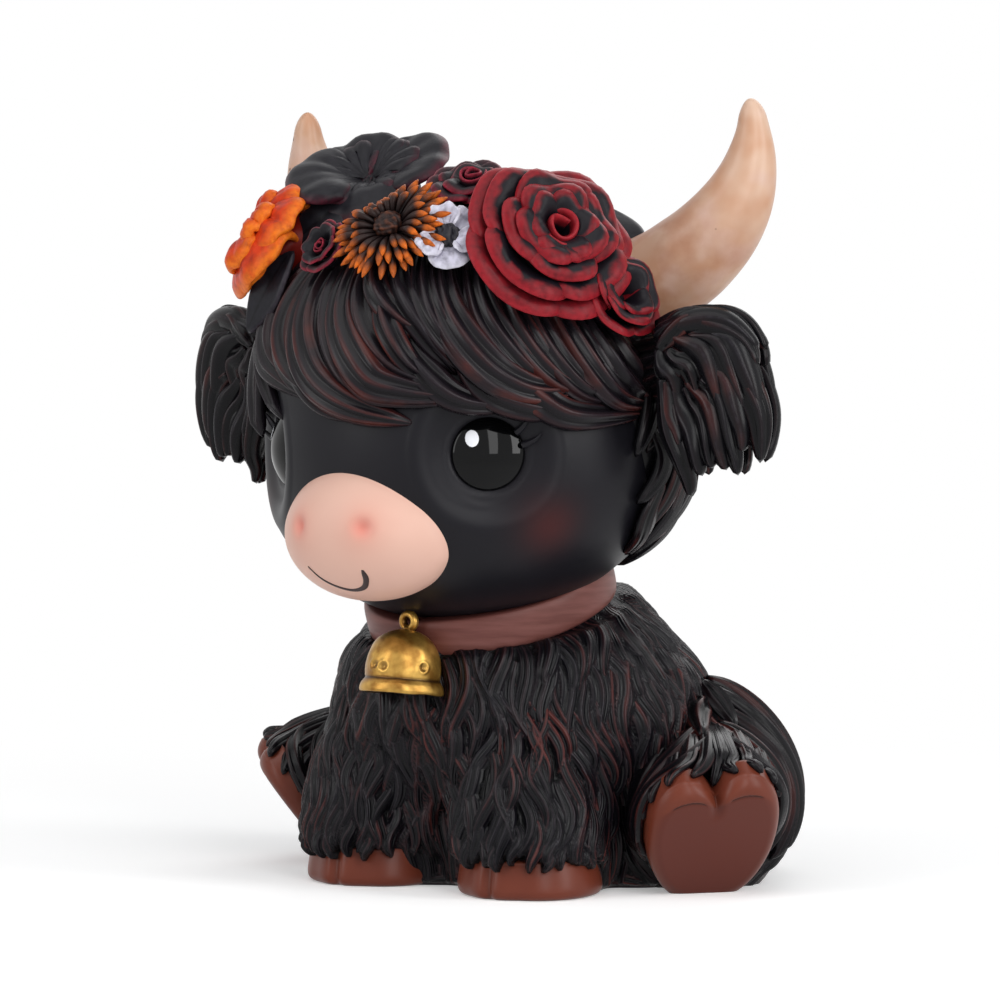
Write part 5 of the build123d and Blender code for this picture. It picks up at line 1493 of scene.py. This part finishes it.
def petal_shell(base_turn, span, inner, outer, low, high, curl, ruffle, ruffles, thick, lean,
                pleat=0.0, fold=0.0, band=0.0, rows=18, columns=27, seed=0):
    """One petal as a thick sheet. a goes across it from -1 to 1 and b from its base to its rim. It stands
    at a turn of base_turn + a*span/2 and a reach from inner to outer as b^(1+lean), and its height goes
    from low to high as sin(b*pi/2). The rim curls outward by a last bend, and a fold lets the outer half
    droop. Ruffles wave the rim, pleats run along b. With a band, the body colour covers only that many mm
    inside the rim."""
    a = np.sin(np.linspace(-0.5, 0.5, columns) * math.pi)[None]
    b = ((1 - np.cos(np.linspace(0, math.pi, rows))) / 2)[:, None]
    phase = np.random.default_rng(seed).uniform(0, 6.28, 3)
    long = b * (0.35 + 0.65 * dome_of(a, 3.2))
    wave = ruffle * np.sin(math.pi * ruffles * a + phase[0]) * b**2
    reach = inner + (outer - inner) * long ** (1 + lean) + curl * ease(b, 0.75, 1.0) + wave * 0.6
    rise = low + (high - low) * np.sin(np.clip(long, 0, 1) * math.pi / 2) + wave
    rise = rise - curl * 0.8 * ease(b, 0.86, 1.0) - fold * ease(b, 0.45, 1.05) ** 1.5
    rise = rise + pleat * np.sin(math.pi * 5 * a + phase[1]) * ease(b, 0.15, 0.6)
    spread = math.radians(span) / 2
    turn = math.radians(base_turn) + a * spread * (0.45 + 0.55 * np.sin(b * math.pi / 2))
    middle = polar(reach, turn, rise)
    border = np.minimum(1 - np.abs(a), np.minimum(b, 1 - b) * 1.6)
    body = np.sqrt(np.clip(border * 6, 0, 1)) * thick / 2
    in_mm = np.minimum((1 - b) * math.hypot(outer - inner, high - low), (1 - np.abs(a)) * spread * outer)
    rim = 1 - ease(in_mm, 0.15, 0.15 + thick * 0.7)
    cover = 0.85 * ease(b, 0.12, 0.42) * np.ones_like(a)
    if band:
        cover = 1 - ease(in_mm + 0.5 * waves(middle, 4.0, seed), band * 0.6, band * 1.5)
    return sheet_shell(middle, body, body, {"cover": cover, "rim": rim * np.ones_like(cover)})


def coil_shell(radius, turns, low, high, thick, seed):
    """Rolled heart of a rose: a strip wound in a spiral, tall inside, its rim wavy."""
    columns, rows = 90, 12
    a = np.linspace(0, 1, columns)[None]
    b = ((1 - np.cos(np.linspace(0, math.pi, rows))) / 2)[:, None]
    turn = 2 * math.pi * turns * a
    reach = radius * (0.22 + 0.78 * a + 0.105 * b**2)
    rise = low + (high - low - 0.25 * radius * a) * b + 0.12 * radius * np.sin(turn * 1.7 + seed) * b
    middle = polar(reach, turn, rise)
    border = np.minimum(np.minimum(a, 1 - a) * 5, np.minimum(b, 1 - b) * 1.6)
    body = np.sqrt(np.clip(border * 6, 0, 1)) * thick / 2
    marks = {"cover": ease(b, 0.6, 0.9) * np.ones_like(a), "rim": ease(b, 0.84, 0.97) * np.ones_like(a)}
    return sheet_shell(middle, body, body, marks)


def dome_shell(radius, height, low, bumps, seed, cover=0.0, rim=0.0):
    """Low dome on polar rings with seeded bumps; also the dark ground inside a flower."""
    cap = np.linspace(1.0, 0.02, 22)
    share = np.concatenate([[0.3, 0.8], cap])
    z = np.concatenate([[low - 2.0, low - 1.6], low + height * dome_of(cap)])
    grid = polar(radius * share[:, None], around(60), z[:, None])
    knobs = waves(grid, max(radius * 0.35, 0.9), seed, 7)
    grid = grid + grid_normals(grid, True) * (bumps * knobs)[..., None]
    return tube_shell(grid, {"cover": cover + 0.3 * knobs, "rim": np.clip(knobs, 0, 1) * rim})


def cup_shell(radius, depth):
    """Short stem cup that carries a flower down into the hair."""
    path = UP * np.array([-depth, -depth * 0.6, -depth * 0.2, 0.1 * radius])[:, None]
    bare = {"cover": np.zeros(4), "rim": np.zeros(4)}
    return taper_tube(path, radius * np.array([0.5, 0.75, 0.95, 1]), 36, (0, 1, 0), bare)


def rose(radius, rows, seed, heart=0.26, turns=1.9):
    """Rows of petals from the outside in, each row higher and steeper, round a rolled heart or, where the
    heart is 0, a dark hollow."""
    rng = np.random.default_rng(seed)
    shells = [cup_shell(radius * 0.6, radius * 0.55), dome_shell(radius * 0.5, radius * 0.3, 0.0, 0.05, seed)]
    for number, (petals, outer, high, low, overlap) in enumerate(rows):
        start = rng.uniform(0, 360)
        for k in range(petals):
            turn = start + 360 / petals * k + rng.uniform(-7, 7)
            size = rng.uniform(0.94, 1.05)
            shells.append(petal_shell(
                turn, 360 / petals * overlap, radius * max(outer - 0.42, 0.08), radius * outer * size,
                radius * low, radius * high * rng.uniform(0.95, 1.05), radius * 0.07, radius * 0.05, 2.1,
                radius * 0.085, 0.35,
                band=radius * (0.13 if number == 0 else 0.075), seed=seed * 31 + number * 7 + k,
            ))
    if heart:
        shells.append(coil_shell(radius * heart, turns, radius * 0.1, radius * 0.60, radius * 0.07, seed))
    return joined(shells)


# Rows of roses: petals, and in shares of the radius their reach, crest and base, and their overlap
LARGE_ROSE_ROWS = (
    (4, 0.99, 0.20, -0.06, 1.34), (4, 0.83, 0.38, -0.02, 1.34), (4, 0.67, 0.50, 0.02, 1.34),
    (3, 0.51, 0.57, 0.08, 1.34), (3, 0.39, 0.59, 0.12, 1.34),
)
BUD_ROWS = ((4, 0.98, 0.40, -0.05, 1.3), (4, 0.74, 0.60, 0.0, 1.3))
FLAT_ROSE_ROWS = ((4, 0.98, 0.20, -0.05, 1.3), (4, 0.76, 0.34, 0.0, 1.3), (3, 0.52, 0.42, 0.05, 1.3))
OPEN_ROSE_ROWS = ((4, 1.0, 0.50, -0.05, 1.25), (3, 0.80, 0.74, 0.0, 1.3), (3, 0.62, 0.80, 0.05, 1.25))


def poppy(petals, pod, cup, thick):
    """Broad cupped petals from a table, a dark ground and a knobbly pod."""
    shells = [cup_shell(cup * 0.4, cup * 0.6), dome_shell(cup * 0.3, cup * 0.12, 0.0, 0.1, 3)]
    for k, (turn, span, outer, low, high, fold, ruffle, pleat) in enumerate(petals):
        shells.append(petal_shell(
            turn, span, 0.8, outer, low, high, 1.0, ruffle, 2.6, thick, 0.1, pleat, fold, 0.0, 30, 45, 70 + k,
        ))
    return joined(shells + [dome_shell(pod, pod * 0.8, 0.4, 0.25, 8, 0.2, 0.5)])


# Each petal: turn, span, reach, height at its base and its crest, droop, ruffle and pleat; the outer ones
# come first. In the black poppy the photograph's left lies at a turn of -90 and the camera at 0.
BLACK_POPPY = (
    (-98, 130, 14.8, 0.3, 6.8, 1.4, 0.35, 0.12), (-8, 150, 12.8, -0.8, 4.4, 3.2, 0.5, 0.12),
    (84, 120, 15.6, -0.2, 4.2, -0.3, 0.35, 0.15), (180, 145, 12.0, 0.0, 5.0, 0.0, 0.4, 0.25),
    (-62, 120, 9.6, 0.8, 3.8, 0.6, 0.5, 0.35), (24, 125, 8.2, 0.6, 3.0, 0.4, 0.5, 0.35),
    (112, 115, 10.6, 0.8, 4.4, 0.2, 0.5, 0.35), (205, 125, 9.4, 0.8, 4.8, 0.0, 0.5, 0.35),
)
ORANGE_POPPY = (
    (-130, 135, 12.0, -1.5, 4.6, 4.6, 0.2, 0.05), (-72, 125, 12.0, -1.5, 5.0, 4.8, 0.3, 0.12),
    (-8, 115, 11.0, -0.8, 5.6, 4.0, 0.45, 0.25), (55, 115, 10.2, 0.0, 6.4, 3.0, 0.5, 0.30),
    (150, 130, 10.0, 0.0, 5.4, 2.0, 0.5, 0.30), (-100, 115, 9.4, 1.0, 6.8, 2.4, 0.35, 0.20),
    (-25, 100, 7.4, 1.2, 7.6, 1.8, 0.5, 0.30), (80, 110, 6.4, 1.2, 7.6, 1.2, 0.5, 0.30),
)


def gerbera():
    """Three rows of slim round-ended rays, dark at the base and bright at the tip, round a knobbly disc.
    The rays on one side are shorter."""
    rng = np.random.default_rng(9)
    shells = [cup_shell(6.0, 6.5), dome_shell(6.5, 0.8, -0.2, 0.05, 4)]
    s = np.linspace(0, 1, 22)
    for count, reach, lift, start in ((30, 11.9, 0.5, 0.0), (27, 10.6, 1.6, 5.0), (20, 8.4, 2.5, 11.0)):
        for k in range(count):
            degrees = start + 360 / count * k + rng.uniform(-4, 4)
            tucked = 1 - 0.42 * bell_curve(degrees % 360 - 125, 42)
            far = reach * rng.uniform(0.86, 1.05) * tucked
            high = lift + rng.uniform(-0.5, 0.7)
            path = polar(1.8 + (far - 1.8) * s, math.radians(degrees), 0.6 + high * np.sin(s * 2.1) * 0.9)
            closing = np.sqrt(np.maximum(1 - ease(s, 0.66, 1.02) ** 2, 0.004))
            radius = (0.30 + 0.42 * ease(s, 0.1, 0.7)) * closing
            tip = ease(s, 0.66, 0.92) * rng.uniform(0.5, 1.0)
            shells.append(taper_tube(path, radius, 10, (0, 0, 1), {"cover": 0.1 + 0.6 * s, "rim": tip}))
    shells.append(dome_shell(2.7, 1.6, 2.0, 0.35, 6, 0.5, 0.1))
    return joined(shells)


def anemone():
    """Six wavy white petals in two rows."""
    shells = []
    for k in range(3):
        for start, span, outer, low, high, curl, seed in (
            (20, 104, 6.8, 0.0, 1.0, 0.3, 90), (80, 86, 6.0, 0.6, 2.6, 0.2, 95),
        ):
            shells.append(petal_shell(
                120 * k + start, span, 0.8, outer, low, high, curl, 0.35, 2.8, 0.9, 0.0, 0.12, seed=seed + k,
            ))
    return joined(shells)


def leaf_shell(long, wide, seed):
    """Pointed leaf: half width = wide * sin(pi*u)^0.8, a sunk midrib, side veins and a wavy lie."""
    u = np.linspace(0, 1, 34)[:, None]
    w = np.sin(np.linspace(-0.5, 0.5, 21) * math.pi)[None]
    half = wide / 2 * np.sin(u * math.pi) ** 0.8 + 0.02
    z = np.abs(w) * (half / wide + 0.35 * np.sin(u * 7 + seed))
    middle = np.stack(np.broadcast_arrays(long * (u - 0.5), half * w, z), -1)
    vein = bell_curve(w, 0.10) + 0.5 * (0.5 + 0.5 * np.cos(2 * math.pi * (u * 7 - np.abs(w) * 1.2))) ** 6
    border = np.minimum(1 - np.abs(w), np.minimum(u, 1 - u) * 3)
    body = np.sqrt(np.clip(border * 5, 0, 1)) * 0.6
    over = np.maximum(body - 0.22 * vein * np.clip(border * 8, 0, 1), 0)
    rim = ease(np.abs(w), 0.75, 0.97) * np.ones_like(u)
    return sheet_shell(middle, over, body, {"cover": np.clip(0.8 - 0.6 * vein, 0, 1), "rim": rim})


# Each flower's turn and climb on the head, its nod and spin, and how far its middle lies over the hair's base
FLOWER_SPOTS = {
    "rose_large": (58.4, 49.0, 10.0, 10.0, 3.04),
    "rose_small": (76.4, 36.5, 4.0, 30.0, 2.064),
    "rose_dark": (37.6, 66.6, 4.0, 50.0, 1.425),
    "rose_bud": (-12.9, 48.2, 12.0, 0.0, 1.4),
    "gerbera": (10.8, 52.1, 10.0, 0.0, 3.54),
    "anemone": (29.2, 50.5, 12.0, 20.0, 3.264),
    "poppy_black": (-62.0, 69.5, 8.0, 0.0, 3.06),
    "poppy_orange": (-54.0, 48.0, 0.0, 35.0, 5.28),
}
HAIR_BASE = 4.0


def set_flower(shell, node, lean=0.0, facing=None):
    """Sets a flower on its spot. lean turns it toward its own east; facing points it that way instead,
    with its turn of 0 toward the camera."""
    turn, climb, nod, spin, lift = FLOWER_SPOTS[node]
    origin, (east, north, out) = spot_on_head(turn, climb, HAIR_BASE, 0.0, nod, lift)
    out, east = swung(out, east, lean)
    if facing:
        out = unit(np.array(facing))
        east = unit(TO_CAMERA - out * (TO_CAMERA @ out))
        north = np.cross(out, east)
    return placed(shell, origin, np.array([*swung(east, north, spin), out]))


def make_flower(name, shell, material, slot, node, *lean_and_facing):
    """A flower set on its spot, as a piece."""
    make_piece(name, set_flower(shell, node, *lean_and_facing), material, slot, node)


make_flower("red_rose_large", rose(16.0, LARGE_ROSE_ROWS, 3, 0.30, 2.3), ROSE_RED, "petal_red", "rose_large")
make_flower("red_rose_small", rose(8.6, OPEN_ROSE_ROWS, 5, 0), ROSE_RED, "petal_red", "rose_small")
make_flower("dark_rose", rose(9.5, FLAT_ROSE_ROWS, 7), ROSE_DARK, "petal_dark", "rose_dark", -8.0)
make_flower("half_open_bud", rose(5.6, BUD_ROWS, 8), ROSE_DARK, "petal_red", "rose_bud")
make_flower("orange_tipped_gerbera", gerbera(), GERBERA_PAINT, "petal_dark", "gerbera")
make_flower("white_anemone", anemone(), PETAL_WHITE, "petal_white", "anemone")
knob_shell = joined([dome_shell(2.5, 1.9, 0.9, 0.25, 14, 0.6, 0.3), cup_shell(3.4, 6.0)])
make_piece("anemone_knob", set_flower(knob_shell, "anemone"), KNOB, "petal_dark")
black_shell, orange_shell = poppy(BLACK_POPPY, 2.6, 18.0, 2.0), poppy(ORANGE_POPPY, 2.2, 19.0, 2.4)
make_flower("black_poppy", black_shell, PETAL_BLACK, "petal_dark", "poppy_black", 0.0, (0.07, -0.53, 0.84))
make_flower("orange_poppy", orange_shell, PETAL_ORANGE, "petal_orange", "poppy_orange", 8.0)


# Each leaf: turn and climb on the head, spin, lean toward the camera, and lift
LEAVES = (
    (112.0, 56.0, 60.0, 40.0, 3.4), (114.0, 45.0, 80.0, 45.0, 3.0), (112.0, 36.0, 10.0, 30.0, 3.2),
    (-42.0, 38.0, 80.0, 40.0, 2.0), (-44.0, 57.0, 80.0, 55.0, 2.4), (-85.0, 52.0, 10.0, 0.0, 0.9),
    (150.0, 72.0, 60.0, 0.0, 0.9), (-150.0, 76.0, 110.0, 0.0, 0.9),
)
LEAF_BEND = 44.0


def make_leaves():
    """Leaves laid on the hair under the flowers, bent to the head's roundness; those at the sides are
    raised and leaned toward the camera."""
    shells = []
    for k, (turn, climb, spin, lean, lift) in enumerate(LEAVES):
        leaf = leaf_shell(18.0, 8.5, k)
        leaf["points"][:, 2] -= (leaf["points"][:, :2] ** 2).sum(-1) / (2 * LEAF_BEND)
        origin, (east, north, out) = spot_on_head(turn, climb, HAIR_BASE + lift, spin)
        toward = lean if north @ TO_CAMERA < 0 else -lean
        shells.append(placed(leaf, origin, np.array([east, *swung(north, out, toward)])))
    return joined(shells)


make_piece("black_leaves", make_leaves(), LEAF, "leaf_black", "crown_leaves")


# Floor and background

def seen_directly(tree):
    """1 for the camera's rays and for those by way of gloss or glass, 0 for the others."""
    rays = add_node(tree, "ShaderNodeLightPath").outputs
    either = maths(tree, "MAXIMUM", rays["Is Camera Ray"], rays["Is Glossy Ray"])
    return maths(tree, "MAXIMUM", either, rays["Is Transmission Ray"])


FLOOR_FADE = (60 * MM, 300 * MM)
FLOOR_HALF = 20.0


def make_floor():
    """Pale floor: a diffuse sheet that keeps the shadow near the figure and goes over to white away from it,
    for the camera, gloss and glass."""
    material = bpy.data.materials.new("pale_paper_floor")
    tree = cleared_tree(material)
    seen = seen_directly(tree)
    place = add_node(tree, "ShaderNodeTexCoord").outputs["Object"]
    away = add_node(tree, "ShaderNodeVectorMath", {"operation": "LENGTH"}, Vector_0=place).outputs["Value"]
    far = add_node(
        tree, "ShaderNodeMapRange", {"interpolation_type": "SMOOTHSTEP"}, Value=away, From_Min=FLOOR_FADE[0],
        From_Max=FLOOR_FADE[1],
    ).outputs[0]
    paper = add_node(tree, "ShaderNodeBsdfDiffuse", None, Color="#f4f4f4").outputs[0]
    glow = add_node(tree, "ShaderNodeEmission", None, Color="#ffffff", Strength=times(tree, seen, 0.30))
    near = add_node(tree, "ShaderNodeAddShader", None, Shader_0=paper, Shader_1=glow.outputs[0]).outputs[0]
    white = add_node(tree, "ShaderNodeEmission", None, Color="#ffffff", Strength=1.0).outputs[0]
    share = times(tree, seen, far)
    sheet = add_node(tree, "ShaderNodeMixShader", None, Fac=share, Shader_0=near, Shader_1=white)
    add_node(tree, "ShaderNodeOutputMaterial", None, Surface=sheet.outputs[0])
    mesh = bpy.data.meshes.new("floor")
    corners = [(x * FLOOR_HALF, y * FLOOR_HALF, 0) for x, y in ((-1, -1), (1, -1), (1, 1), (-1, 1))]
    mesh.from_pydata(corners, [], [(0, 1, 2, 3)])
    mesh.materials.append(material)
    floor = bpy.data.objects.new("floor", mesh)
    bpy.context.scene.collection.objects.link(floor)


def make_world():
    """White for the camera, gloss and glass, a soft grey light otherwise."""
    world = bpy.data.worlds.new("white_studio")
    tree = cleared_tree(world)
    light = add_node(tree, "ShaderNodeBackground", None, Color="#eef0f4", Strength=0.20).outputs[0]
    white = add_node(tree, "ShaderNodeBackground", None, Color="#ffffff", Strength=1.0).outputs[0]
    choice = add_node(
        tree, "ShaderNodeMixShader", None, Fac=seen_directly(tree), Shader_0=light, Shader_1=white,
    )
    add_node(tree, "ShaderNodeOutputWorld", None, Surface=choice.outputs[0])
    bpy.context.scene.world = world


make_floor()
make_world()
